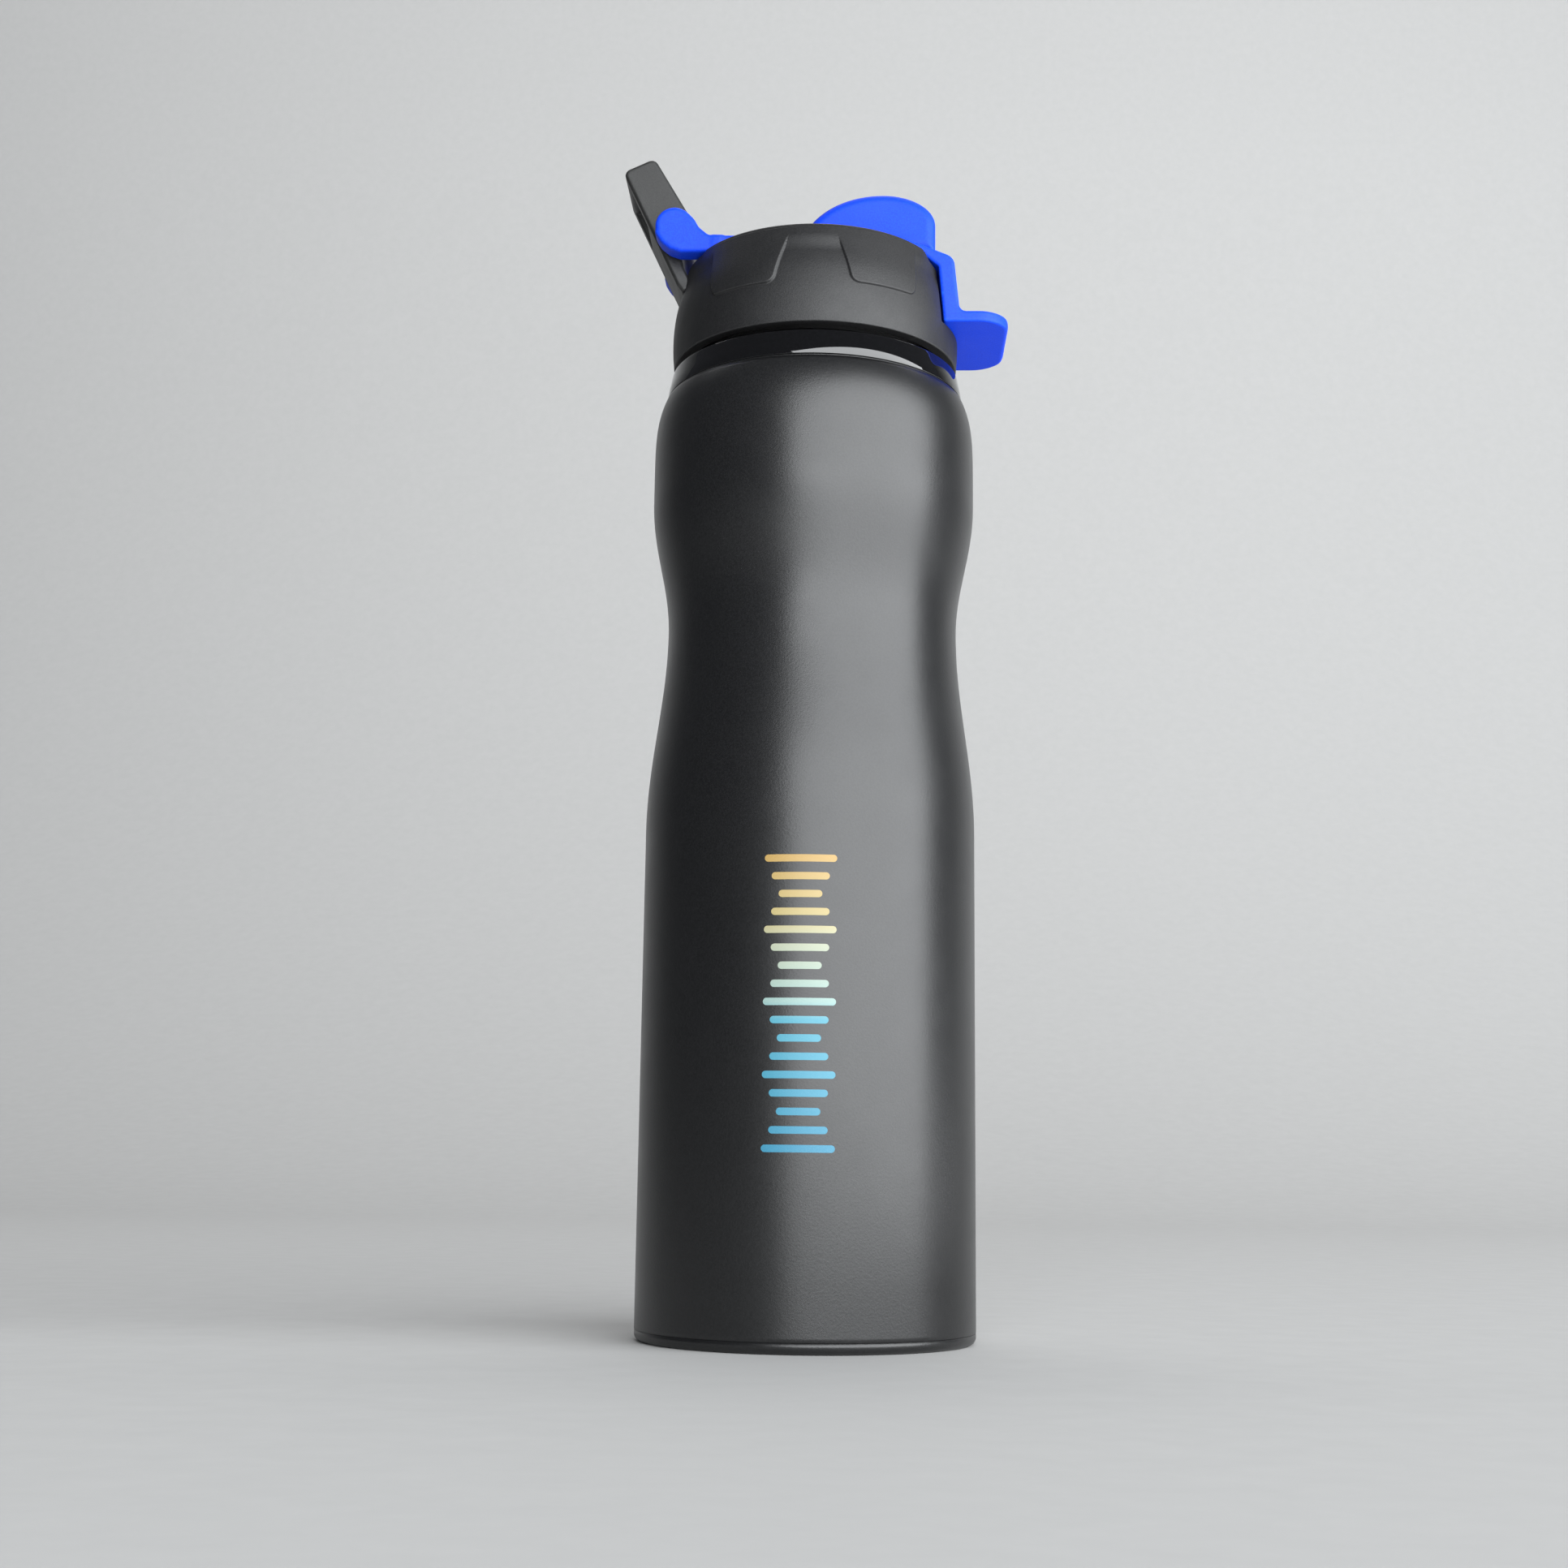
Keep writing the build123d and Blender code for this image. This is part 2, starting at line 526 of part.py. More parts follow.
def loop_blank():
    """Loop without its screw and pin holes."""
    loop = slab(loop_outline(), LOOP_HALF_W)
    loop -= box(-FAR, 0, -LOOP_HOLE_HALF_W, LOOP_HOLE_HALF_W,
                LOOP_HOLE_Z, LOOP_HOLE_Z + LOOP_HOLE_H)
    top = [e for e in loop.edges().filter_by(Axis.Y) if e.center().Z > LOOP_TIP_Z - SINK]
    return fillet(top, LOOP_ROUND)


def carry_loop():
    """Rigid loop, its hinge barrel and the tongue in the cap's wall."""
    loop = loop_blank() - cross_bar(PIN_R, PIN_X, PIN_Z, LOOP_HALF_W + SINK)
    for y in (-LOOP_SCREW_Y, LOOP_SCREW_Y):
        loop -= stub(LOOP_SCREW_R, TONGUE_Z - SINK, TONGUE_TOP_Z + SINK, LOOP_SCREW_X, y)
    return loop


def loop_screws():
    """Two screws up through the tongue into the deck's boss."""
    pair = Part()
    for y in (-LOOP_SCREW_Y, LOOP_SCREW_Y):
        top = TONGUE_TOP_Z + LOOP_SCREW_BITE
        pair += stub(LOOP_SCREW_R, TONGUE_Z, top, LOOP_SCREW_X, y)
        pair += stub(LOOP_SCREW_HEAD_R, TONGUE_Z - LOOP_SCREW_HEAD_T, TONGUE_Z, LOOP_SCREW_X, y)
    return pair


def hinge_pin():
    """Steel pin through the loop's barrel, with both ends in the ears' blind bores."""
    return cross_bar(PIN_R, PIN_X, PIN_Z, EAR_BORE_HALF - PIN_END_CLEAR)


# ---- flip cover ------------------------------------------------------------
def quarter(x0, z0, a, b, first, last):
    """Points of a quarter ellipse about (x0, z0), between two angles in turns."""
    turns = [first + (last - first) * i / DOME_STEPS for i in range(DOME_STEPS + 1)]
    return [(x0 + a * math.cos(math.tau * t), z0 + b * math.sin(math.tau * t)) for t in turns]


def dome_face(inset):
    """Side outline of the dome, drawn in by inset, closed inside the plate."""
    top = DOME_TOP_Z - inset
    front = DOME_FRONT_X - inset
    floor = COVER_TOP_Z - DOME_FOOT
    curve = quarter(DOME_PEAK_X, top - DOME_FRONT_DROP, front - DOME_PEAK_X,
                    DOME_FRONT_DROP, 0, 0.25)
    curve += quarter(DOME_PEAK_X, floor, DOME_BACK_LEN - inset, top - floor, 0.25, 0.5)[1:]
    edge = Spline([(x, 0, z) for x, z in curve])
    ends = [curve[-1], (curve[-1][0], floor - SINK), (front, floor - SINK), curve[0]]
    sides = Polyline([(x, 0, z) for x, z in ends])
    return make_face([edge, *sides.edges()])


def dome(inset, half_w, round_r):
    """Rounded dome or its cavity."""
    solid = extrude(dome_face(inset), half_w, dir=(0, 1, 0), both=True)
    long_edges = [
        e for e in solid.edges()
        if abs(e.bounding_box().size.Y) < SINK and e.bounding_box().max.Z > COVER_TOP_Z
    ]
    return fillet(long_edges, round_r)


def cover_plate():
    """Plate over the deck, chamfered front, strap and finger tab in one."""
    outline = [
        (COVER_REAR_X, COVER_UNDER_Z), (COVER_REAR_X, COVER_TOP_Z), (CHAMFER_X, COVER_TOP_Z),
        (STRAP_OUT_X, CHAMFER_Z), (STRAP_OUT_LOW_X, TAB_TOP_Z), (TAB_X, TAB_TOP_Z),
        (TAB_X, TAB_Z), (STRAP_IN_LOW_X, TAB_Z), (STRAP_IN_X, CHAMFER_IN_Z),
        (CHAMFER_IN_X, COVER_UNDER_Z),
    ]
    plate = slab(outline, STRAP_HALF_W)
    corners = [e for e in plate.edges().filter_by(Axis.Z) if e.center().X > TAB_X - SINK]
    return fillet(corners, TAB_CORNER_R)


def ears():
    """Two hooked ears beside the loop."""
    web = [
        *[(PIN_X + x, PIN_Z + z) for x, z in EAR_LOWER],
        (PIN_X + EAR_ROOT_X, COVER_UNDER_Z), (COVER_REAR_X + SINK, COVER_UNDER_Z),
        (COVER_REAR_X + SINK, COVER_TOP_Z), (PIN_X + EAR_BEND_X, COVER_TOP_Z + EAR_CROWN),
        *[(PIN_X + x, PIN_Z + z) for x, z in EAR_UPPER],
    ]
    pair = slab(web, STRAP_HALF_W, EAR_IN)
    lobes = cross_bar(EAR_LOBE_R, PIN_X, PIN_Z, STRAP_HALF_W)
    lobes -= cross_bar(EAR_LOBE_R + SINK, PIN_X, PIN_Z, EAR_IN)
    return pair + lobes


def flip_cover():
    """One-piece cover: ears, plate, dome, strap and finger tab."""
    cover = cover_plate() + ears() + dome(0, DOME_HALF_W, DOME_ROUND)
    cavity = dome(DOME_WALL, DOME_HALF_W - DOME_WALL, DOME_ROUND - DOME_WALL)
    inner_half_w = DOME_HALF_W - DOME_WALL
    cavity += box(DOME_PEAK_X - DOME_BACK_LEN + DOME_WALL,
                  DOME_FRONT_X - DOME_WALL - DOME_FOOT_ROOM,
                  -inner_half_w, inner_half_w, COVER_UNDER_Z - SINK, COVER_TOP_Z - SINK)
    cover -= cavity
    boss_top = DOME_TOP_Z - DOME_WALL / 2
    cover += stub(PLUG_BOSS_R, PLUG_TOP_Z - PLUG_POCKET, boss_top, SPOUT_X)
    return cover - cross_bar(PIN_R + PIN_RUNNING, PIN_X, PIN_Z, EAR_BORE_HALF)


# ---- drinking parts --------------------------------------------------------
def spout():
    """Drinking spout with a flange on the deck and a tail through it."""
    tail = DECK_UNDER_Z - SPOUT_TAIL
    tube = stub(SPOUT_R, DECK_Z, SPOUT_TOP_Z, SPOUT_X)
    tube += stub(SPOUT_FLANGE_R, DECK_Z, DECK_Z + SPOUT_FLANGE_T, SPOUT_X)
    tube = fillet(tube.edges().group_by(Axis.Z)[-1], SPOUT_TOP_R)
    tube += stub(SPOUT_R - FIT_CLEAR, tail, DECK_Z, SPOUT_X)
    return tube - stub(SPOUT_BORE_R, tail - SINK, SPOUT_TOP_Z + SINK, SPOUT_X)


def spout_nut():
    """Snap ring on the spout's tail, under the deck."""
    z0 = DECK_UNDER_Z - SPOUT_NUT_H
    washer = stub(SPOUT_FLANGE_R, z0, DECK_UNDER_Z, SPOUT_X)
    return washer - stub(SPOUT_R, z0 - SINK, DECK_UNDER_Z + SINK, SPOUT_X)


def spout_plug():
    """Silicone stopper under the dome."""
    plug = stub(PLUG_R, PLUG_Z, PLUG_TOP_Z, SPOUT_X)
    tip = Cone(PLUG_TIP_R - PLUG_TIP_TAPER, PLUG_TIP_R, PLUG_TIP_H)
    plug += Pos(SPOUT_X, 0, PLUG_Z - PLUG_TIP_H / 2) * tip
    return plug - stub(PLUG_BOSS_R, PLUG_TOP_Z - PLUG_POCKET, PLUG_TOP_Z + SINK, SPOUT_X)


def air_vent():
    """Silicone umbrella valve in the deck."""
    valve = stub(VENT_CAP_R, DECK_Z, DECK_Z + VENT_CAP_T, VENT_X)
    valve += stub(VENT_HOLE_R, DECK_UNDER_Z, DECK_Z, VENT_X)
    return valve + stub(VENT_BULB_R, DECK_UNDER_Z - VENT_BULB_H, DECK_UNDER_Z, VENT_X)


PARTS = {
    "outer_shell": outer_shell,
    "base_cup": base_cup,
    "inner_liner": inner_liner,
    "getter": lambda: stub(GETTER_R, BASE_CUP_H, BASE_CUP_H + GETTER_T, GETTER_X),
    "seal_pellet": seal_pellet,
    "base_cover": lambda: stub(BASE_COVER_R, BASE_RECESS_Z - BASE_COVER_T, BASE_RECESS_Z),
    "neck_collar": neck_collar,
    "cap_shell": cap_shell,
    "thread_insert": thread_insert,
    "cap_gasket": cap_gasket,
    "spout": spout,
    "spout_nut": spout_nut,
    "air_vent": air_vent,
    "carry_loop": carry_loop,
    "loop_screws": loop_screws,
    "hinge_pin": hinge_pin,
    "flip_cover": flip_cover,
    "spout_plug": spout_plug,
}

os.makedirs("parts", exist_ok=True)
for name, make in PARTS.items():
    export_step(make(), f"parts/{name}.step")
    print("wrote", name)
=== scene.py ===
"""Looks of an insulated water bottle: painted steel body, screw cap, flip cover and carry loop.

Lengths in the shape code are millimetres in the row frame: +Z up the bottle's axis, +X to the
drinking side, -X to the carry loop. Meshes are written in metres.
"""

import logging
import math
from dataclasses import dataclass, field
from enum import Enum
from typing import Callable, Optional, Sequence

import bpy
import numpy as np
from mathutils import Matrix, Vector


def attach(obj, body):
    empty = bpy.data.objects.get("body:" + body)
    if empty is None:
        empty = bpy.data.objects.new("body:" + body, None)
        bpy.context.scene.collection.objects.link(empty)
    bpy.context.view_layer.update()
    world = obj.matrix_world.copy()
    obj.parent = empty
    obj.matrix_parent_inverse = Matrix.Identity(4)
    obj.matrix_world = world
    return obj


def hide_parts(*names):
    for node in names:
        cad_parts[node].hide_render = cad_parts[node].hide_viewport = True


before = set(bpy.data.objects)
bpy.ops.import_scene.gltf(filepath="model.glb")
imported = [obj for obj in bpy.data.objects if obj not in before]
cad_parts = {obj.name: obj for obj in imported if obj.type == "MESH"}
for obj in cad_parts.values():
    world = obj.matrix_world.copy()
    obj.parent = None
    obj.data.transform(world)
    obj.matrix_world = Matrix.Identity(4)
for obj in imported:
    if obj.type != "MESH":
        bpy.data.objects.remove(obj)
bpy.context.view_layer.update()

LOG = logging.getLogger("bottle")
MM = 0.001

Point2 = tuple[float, float]
Colour = tuple[float, float, float]
Socket = bpy.types.NodeSocket
Array = np.ndarray
FieldFn = Callable[[Array, Array, Array], Array]


class Body(str, Enum):
    """CAD bodies that pieces ride on."""

    BOTTLE = "bottle"
    CAP = "cap"
    COVER = "cover"


class Slot(str, Enum):
    """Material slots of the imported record."""

    POWDER = "powder_coat"
    STEEL = "steel"
    GETTER = "getter_metal"
    SMOKE = "smoke_gloss"
    CAP_BLACK = "cap_black"
    INNER = "inner_plastic"
    LOOP = "loop_black"
    BLUE = "cover_blue"
    SPOUT = "spout_grey"
    SILICONE = "silicone"


# ---------------------------------------------------------------------------
# Curves and plane figures
# ---------------------------------------------------------------------------
def smoothstep(t: Array) -> Array:
    """Cubic ease from 0 to 1."""
    t = np.clip(t, 0.0, 1.0)
    return t * t * (3.0 - 2.0 * t)


def hermite(xs: Sequence[float], ys: Sequence[float], at: Array) -> Array:
    """Smooth curve through points.

    Args:
        xs: increasing knots.
        ys: values at the knots.
        at: where the curve is read.

    Returns:
        The curve's values at `at`.
    """
    x, y = np.asarray(xs, float), np.asarray(ys, float)
    slope = np.gradient(y, x)
    i = np.clip(np.searchsorted(x, at) - 1, 0, len(x) - 2)
    h = x[i + 1] - x[i]
    t = (at - x[i]) / h
    a = (1 + 2 * t) * (1 - t) ** 2 * y[i] + t * (1 - t) ** 2 * h * slope[i]
    b = t * t * (3 - 2 * t) * y[i + 1] + t * t * (t - 1) * h * slope[i + 1]
    return a + b


def rounded(points: Sequence[Point2], radii: Sequence[float],
            steps: int = 6) -> list[Point2]:
    """Closed outline with its corners rounded.

    Args:
        points: corners in order.
        radii: one radius for every corner, 0 for a sharp one.
        steps: straight pieces in each arc.

    Returns:
        The outline with an arc in place of each corner.
    """
    almost_straight, longest_share = 0.02, 0.48
    n = len(points)
    out: list[Point2] = []
    for i, radius in enumerate(radii):
        p = np.array(points[i], float)
        a = np.array(points[i - 1], float) - p
        b = np.array(points[(i + 1) % n], float) - p
        la, lb = np.linalg.norm(a), np.linalg.norm(b)
        a, b = a / la, b / lb
        half = math.acos(float(np.clip(a @ b, -1, 1))) / 2
        if radius <= 0 or half > math.pi / 2 - almost_straight:
            out.append((p[0], p[1]))
            continue
        reach = min(radius / math.tan(half), longest_share * la, longest_share * lb)
        r = reach * math.tan(half)
        bisector = (a + b) / np.linalg.norm(a + b)
        centre = p + bisector * (r / math.sin(half))
        u, v = p + a * reach - centre, p + b * reach - centre
        start = math.atan2(u[1], u[0])
        turn = math.atan2(u[0] * v[1] - u[1] * v[0], float(u @ v))
        for k in range(steps + 1):
            t = start + turn * k / steps
            out.append((centre[0] + r * math.cos(t), centre[1] + r * math.sin(t)))
    return out


def spaced(points: Sequence[Point2], longest: float = 1.2,
           near: float = 0.12) -> list[Point2]:
    """Open line with long runs divided, and a short piece kept next to each bend.

    Args:
        points: the line's points in order.
        longest: longest piece of a divided run.
        near: length of the short pieces next to the bends.

    Returns:
        The line with the added points.
    """
    out = [points[0]]
    for a, b in zip(points[:-1], points[1:]):
        pa, pb = np.array(a, float), np.array(b, float)
        length = float(np.linalg.norm(pb - pa))
        cuts: list[float] = []
        if length > 4 * near:
            inner = max(1, math.ceil((length - 2 * near) / longest))
            cuts = [near + (length - 2 * near) * k / inner for k in range(inner + 1)]
        out += [tuple(pa + (pb - pa) * c / length) for c in cuts] + [(b[0], b[1])]
    return out


def polygon_distance(x: Array, y: Array, outline: Sequence[Point2]) -> Array:
    """Signed distance to a closed outline, negative inside.

    Args:
        x: first coordinate of the places.
        y: second coordinate of the places.
        outline: corners in order.

    Returns:
        The distance at each place.
    """
    far, tiny = 1e18, 1e-18
    shape = np.broadcast_shapes(np.shape(x), np.shape(y))
    near = np.full(shape, far)
    sign = np.ones(shape)
    n = len(outline)
    for i in range(n):
        (ax, ay), (bx, by) = outline[i], outline[i - 1]
        ex, ey = bx - ax, by - ay
        wx, wy = x - ax, y - ay
        t = np.clip((wx * ex + wy * ey) / (ex * ex + ey * ey + tiny), 0, 1)
        near = np.minimum(near, (wx - ex * t) ** 2 + (wy - ey * t) ** 2)
        above, below, left = y >= ay, y < by, ex * wy > ey * wx
        flip = (above & below & left) | (~above & ~below & ~left)
        sign = np.where(flip, -sign, sign)
    return sign * np.sqrt(near)


# ---------------------------------------------------------------------------
# Distance fields and their meshes
# ---------------------------------------------------------------------------
def join(a: Array, b: Array, fillet: float) -> Array:
    """Union of two fields with a fillet where they meet.

    Args:
        a: one field.
        b: the other field.
        fillet: width of the blend, 0 for a sharp corner.

    Returns:
        The field of both together.
    """
    if fillet <= 0:
        return np.minimum(a, b)
    h = np.maximum(fillet - np.abs(a - b), 0) / fillet
    return np.minimum(a, b) - h * h * fillet / 4


def meet(a: Array, b: Array, fillet: float) -> Array:
    """Intersection of two fields with a rounded edge."""
    return -join(-a, -b, fillet)


def prism(side: Array, y: Array, inner: float, outer: float, edge: float) -> Array:
    """Field of an outline's prism across Y, on both sides of the middle plane.

    Args:
        side: signed distance to the outline.
        y: the Y coordinate.
        inner: where each half starts, 0 for one solid prism.
        outer: half width.
        edge: rounding of the long edges.

    Returns:
        The field of the rounded prism.
    """
    if inner <= 0:
        span = np.abs(y) - outer
    else:
        span = np.abs(np.abs(y) - (inner + outer) / 2) - (outer - inner) / 2
    u, w = side + edge, span + edge
    outside = np.sqrt(np.maximum(u, 0) ** 2 + np.maximum(w, 0) ** 2)
    return outside - edge + np.minimum(np.maximum(u, w), 0)


@dataclass(frozen=True)
class Net:
    """Mesh of a distance field's surface.

    Attributes:
        low: lowest corner of the grid.
        high: highest corner of the grid.
        step: spacing of the grid.
    """

    low: tuple[float, float, float]
    high: tuple[float, float, float]
    step: float

    def mesh(self, name: str, value: FieldFn) -> bpy.types.Object:
        """Object whose vertices lie on the field's zero surface.

        Args:
            name: object name.
            value: the field, negative inside.

        Returns:
            The linked object.
        """
        axes = [np.arange(lo, hi + self.step, self.step)
                for lo, hi in zip(self.low, self.high)]
        grid = value(axes[0][:, None, None], axes[1][None, :, None],
                     axes[2][None, None, :])
        verts, quads = self._net(grid, axes)
        for _ in range(2):
            verts = self._settle(verts, value)
        return mesh_object(name, verts, quads)

    def _net(self, grid: Array, axes: list[Array]) -> tuple[Array, Array]:
        """Vertices in the crossed cells and a quad round each crossed edge.

        Args:
            grid: the field on the grid.
            axes: the grid's X, Y and Z places.

        Returns:
            The vertices and the quads' vertex numbers.
        """
        inside = grid < 0
        nx, ny, nz = (s - 1 for s in grid.shape)
        count = np.zeros((nx, ny, nz), np.int8)
        corners = [(i, j, k) for i in (0, 1) for j in (0, 1) for k in (0, 1)]
        for i, j, k in corners:
            count += inside[i:i + nx, j:j + ny, k:k + nz]
        cells = np.argwhere((count > 0) & (count < len(corners)))
        index = np.full((nx, ny, nz), -1, np.int64)
        index[tuple(cells.T)] = np.arange(len(cells))
        total, hits = np.zeros((len(cells), 3)), np.zeros(len(cells))
        for axis in range(3):
            for u in (0, 1):
                for v in (0, 1):
                    lo = [u, v]
                    lo.insert(axis, 0)
                    hi = [u, v]
                    hi.insert(axis, 1)
                    a = grid[tuple((cells + lo).T)]
                    b = grid[tuple((cells + hi).T)]
                    crossed = (a < 0) != (b < 0)
                    t = np.where(crossed, a / np.where(crossed, a - b, 1), 0)
                    place = np.tile(np.array(lo, float), (len(cells), 1))
                    place[:, axis] = t
                    total += place * crossed[:, None]
                    hits += crossed
        origin = np.array([a[0] for a in axes])
        verts = origin + (cells + total / hits[:, None]) * self.step
        quads = []
        for axis in range(3):
            b, c = (axis + 1) % 3, (axis + 2) % 3
            lo, hi = [slice(1, -1)] * 3, [slice(1, -1)] * 3
            lo[axis], hi[axis] = slice(0, -1), slice(1, None)
            first, last = inside[tuple(lo)], inside[tuple(hi)]
            edges = np.argwhere(first != last)
            outward = first[tuple(edges.T)]
            edges[:, b] += 1
            edges[:, c] += 1
            ring = []
            for db, dc in ((0, 0), (-1, 0), (-1, -1), (0, -1)):
                cell = edges.copy()
                cell[:, b] += db
                cell[:, c] += dc
                ring.append(index[tuple(cell.T)])
            quad = np.stack(ring, 1)
            quad[~outward] = quad[~outward][:, ::-1]
            quads.append(quad)
        return verts, np.concatenate(quads)

    def _settle(self, verts: Array, value: FieldFn) -> Array:
        """Moves vertices onto the surface along the field's slope.

        Args:
            verts: the vertices.
            value: the field.

        Returns:
            The vertices after one move, of half a step at most.
        """
        probe, least_slope, tiny = 0.05, 0.2, 1e-9
        h = self.step * probe
        x, y, z = verts.T
        f = value(x, y, z)
        ahead = [value(x + h, y, z), value(x, y + h, z), value(x, y, z + h)]
        slope = np.stack([a - f for a in ahead], 1) / h
        size = np.maximum((slope ** 2).sum(1), least_slope)
        move = -slope * (f / size)[:, None]
        length = np.linalg.norm(move, axis=1, keepdims=True)
        return verts + move * np.minimum(1, 0.5 * self.step / np.maximum(length, tiny))


# ---------------------------------------------------------------------------
# Mesh building
# ---------------------------------------------------------------------------
def mesh_object(name: str, verts_mm: Array,
                faces: Array | Sequence[Sequence[int]]) -> bpy.types.Object:
    """Smooth-shaded object from millimetre vertices.

    Args:
        name: object name.
        verts_mm: (N, 3) places.
        faces: vertex numbers of each face.

    Returns:
        The linked object, at the origin.
    """
    mesh = bpy.data.meshes.new(name)
    rows = faces.tolist() if isinstance(faces, np.ndarray) else [list(f) for f in faces]
    mesh.from_pydata((np.asarray(verts_mm) * MM).tolist(), [], rows)
    mesh.validate()
    mesh.shade_smooth()
    obj = bpy.data.objects.new(name, mesh)
    bpy.context.scene.collection.objects.link(obj)
    return obj


def grid_faces(rows: int, columns: int, closed: bool) -> Array:
    """Quads of a grid of places.

    Args:
        rows: number of rows.
        columns: places in a row.
        closed: whether each row runs right round the axis.

    Returns:
        (N, 4) vertex numbers.
    """
    last = columns if closed else columns - 1
    i, j = np.meshgrid(np.arange(rows - 1), np.arange(last), indexing="ij")
    k = (j + 1) % columns
    here, after = i * columns, (i + 1) * columns
    return np.stack([here + j, here + k, after + k, after + j], -1).reshape(-1, 4)


@dataclass(frozen=True)
class Lathe:
    """Turned surface about an upright axis.

    Attributes:
        line: (r, z) points of the section, outer side first to last.
        segments: divisions round the axis.
    """

    line: Sequence[Point2]
    segments: int

    def grid(self) -> Array:
        """Places of the turned grid.

        Returns:
            (rows, segments, 3) places.
        """
        turn = np.linspace(0, 2 * math.pi, self.segments, endpoint=False)
        r = np.array([p[0] for p in self.line])[:, None]
        z = np.array([p[1] for p in self.line])[:, None]
        return np.stack([r * np.cos(turn), r * np.sin(turn), z + 0 * turn], -1)

    def mesh(self, name: str,
             reshape: Optional[Callable[[Array], Array]] = None) -> bpy.types.Object:
        """Turned object, after an optional change of its grid.

        Args:
            name: object name.
            reshape: takes the grid's places and gives them back moved.

        Returns:
            The linked object.
        """
        places = self.grid()
        if reshape is not None:
            places = reshape(places)
        rows, columns, _ = places.shape
        return mesh_object(name, places.reshape(-1, 3), grid_faces(rows, columns, True))


# ---------------------------------------------------------------------------
# Finishes
# ---------------------------------------------------------------------------
# Where the mix node keeps its colour sockets.
MIX_COLOUR_INPUTS = (0, 6, 7)
MIX_COLOUR_OUTPUT = 2

# Parts of a noise's own range that are spread over a finish.
GRAIN_RANGE = (0.35, 0.65)
CLOUD_RANGE = (0.3, 0.7)
SMUDGE_RANGE = (0.35, 0.6)
SMUDGE_SCALE = 3.1
CLOUD_SHARE, SMUDGE_SHARE = 0.6, 0.4

# Pointiness at which rubbing starts and is full, and how far it goes.
WORN_EDGE = (0.515, 0.58)
WORN_MOST, WORN_LEAST = 0.55, 0.2

INK_GRAIN, INK_GRAIN_MM = 3200.0, 0.008
INK_ROUGHNESS = (0.38, 0.5)

COAT_ROUGHNESS = 0.03
SUBSURFACE_DEPTH = 0.0015


class Graph:
    """Short way to write a material's nodes."""

    def __init__(self, name: str) -> None:
        """Starts an empty material with a principled shader.

        Args:
            name: material name.
        """
        self.material = bpy.data.materials.new(name)
        self.material.use_nodes = True
        self.tree = self.material.node_tree
        self.tree.nodes.clear()
        self.shader = self.node("ShaderNodeBsdfPrincipled")
        out = self.node("ShaderNodeOutputMaterial")
        self.link(self.shader.outputs["BSDF"], out.inputs["Surface"])
        self.place = self.node("ShaderNodeTexCoord").outputs["Object"]

    def node(self, kind: str, **values: object) -> bpy.types.Node:
        """New node with its values set.

        Args:
            kind: the node's type.
            **values: a name that matches an input sets it, others set properties.

        Returns:
            The node.
        """
        made = self.tree.nodes.new(kind)
        for key, value in values.items():
            socket = made.inputs.get(key.replace("_", " "))
            if socket is not None:
                socket.default_value = value
            else:
                setattr(made, key, value)
        return made

    def link(self, a: Socket, b: Socket) -> None:
        """Joins two sockets."""
        self.tree.links.new(a, b)

    def noise(self, scale: float, detail: float, rough: float = 0.55,
              stretch: Sequence[float] = (1, 1, 1)) -> Socket:
        """Noise of object places.

        Args:
            scale: cells per metre.
            detail: octaves.
            rough: strength of each octave against the one before.
            stretch: scale along X, Y and Z.

        Returns:
            The noise, from 0 to 1.
        """
        mapping = self.node("ShaderNodeMapping")
        mapping.inputs["Scale"].default_value = stretch
        self.link(self.place, mapping.inputs["Vector"])
        made = self.node("ShaderNodeTexNoise", Scale=scale, Detail=detail, Roughness=rough)
        self.link(mapping.outputs["Vector"], made.inputs["Vector"])
        return made.outputs["Fac"]

    def spread(self, source: Socket, low: float, high: float, out_low: float,
               out_high: float) -> Socket:
        """Source mapped from one range to another.

        Args:
            source: the value.
            low: lower end of its range.
            high: upper end of its range.
            out_low: result at the lower end.
            out_high: result at the upper end.

        Returns:
            The mapped value.
        """
        made = self.node("ShaderNodeMapRange", From_Min=low, From_Max=high,
                         To_Min=out_low, To_Max=out_high)
        self.link(source, made.inputs["Value"])
        return made.outputs["Result"]

    def blend(self, share: Socket, a: Colour | Socket, b: Colour) -> Socket:
        """Colour between a and b.

        Args:
            share: 0 for a, 1 for b.
            a: first colour, or a socket that gives it.
            b: second colour.

        Returns:
            The mixed colour.
        """
        made = self.node("ShaderNodeMix", data_type="RGBA")
        factor, first, second = (made.inputs[i] for i in MIX_COLOUR_INPUTS)
        if isinstance(a, Socket):
            self.link(a, first)
        else:
            first.default_value = (*a, 1)
        second.default_value = (*b, 1)
        self.link(share, factor)
        return made.outputs[MIX_COLOUR_OUTPUT]

    def bump(self, layers: Sequence[tuple[Socket, float]]) -> None:
        """Bump from layers, one after another.

        Args:
            layers: (height, millimetres) of each.
        """
        normal = None
        for source, height in layers:
            made = self.node("ShaderNodeBump", Strength=1.0, Distance=height * MM)
            self.link(source, made.inputs["Height"])
            if normal is not None:
                self.link(normal, made.inputs["Normal"])
            normal = made.outputs["Normal"]
        self.link(normal, self.shader.inputs["Normal"])


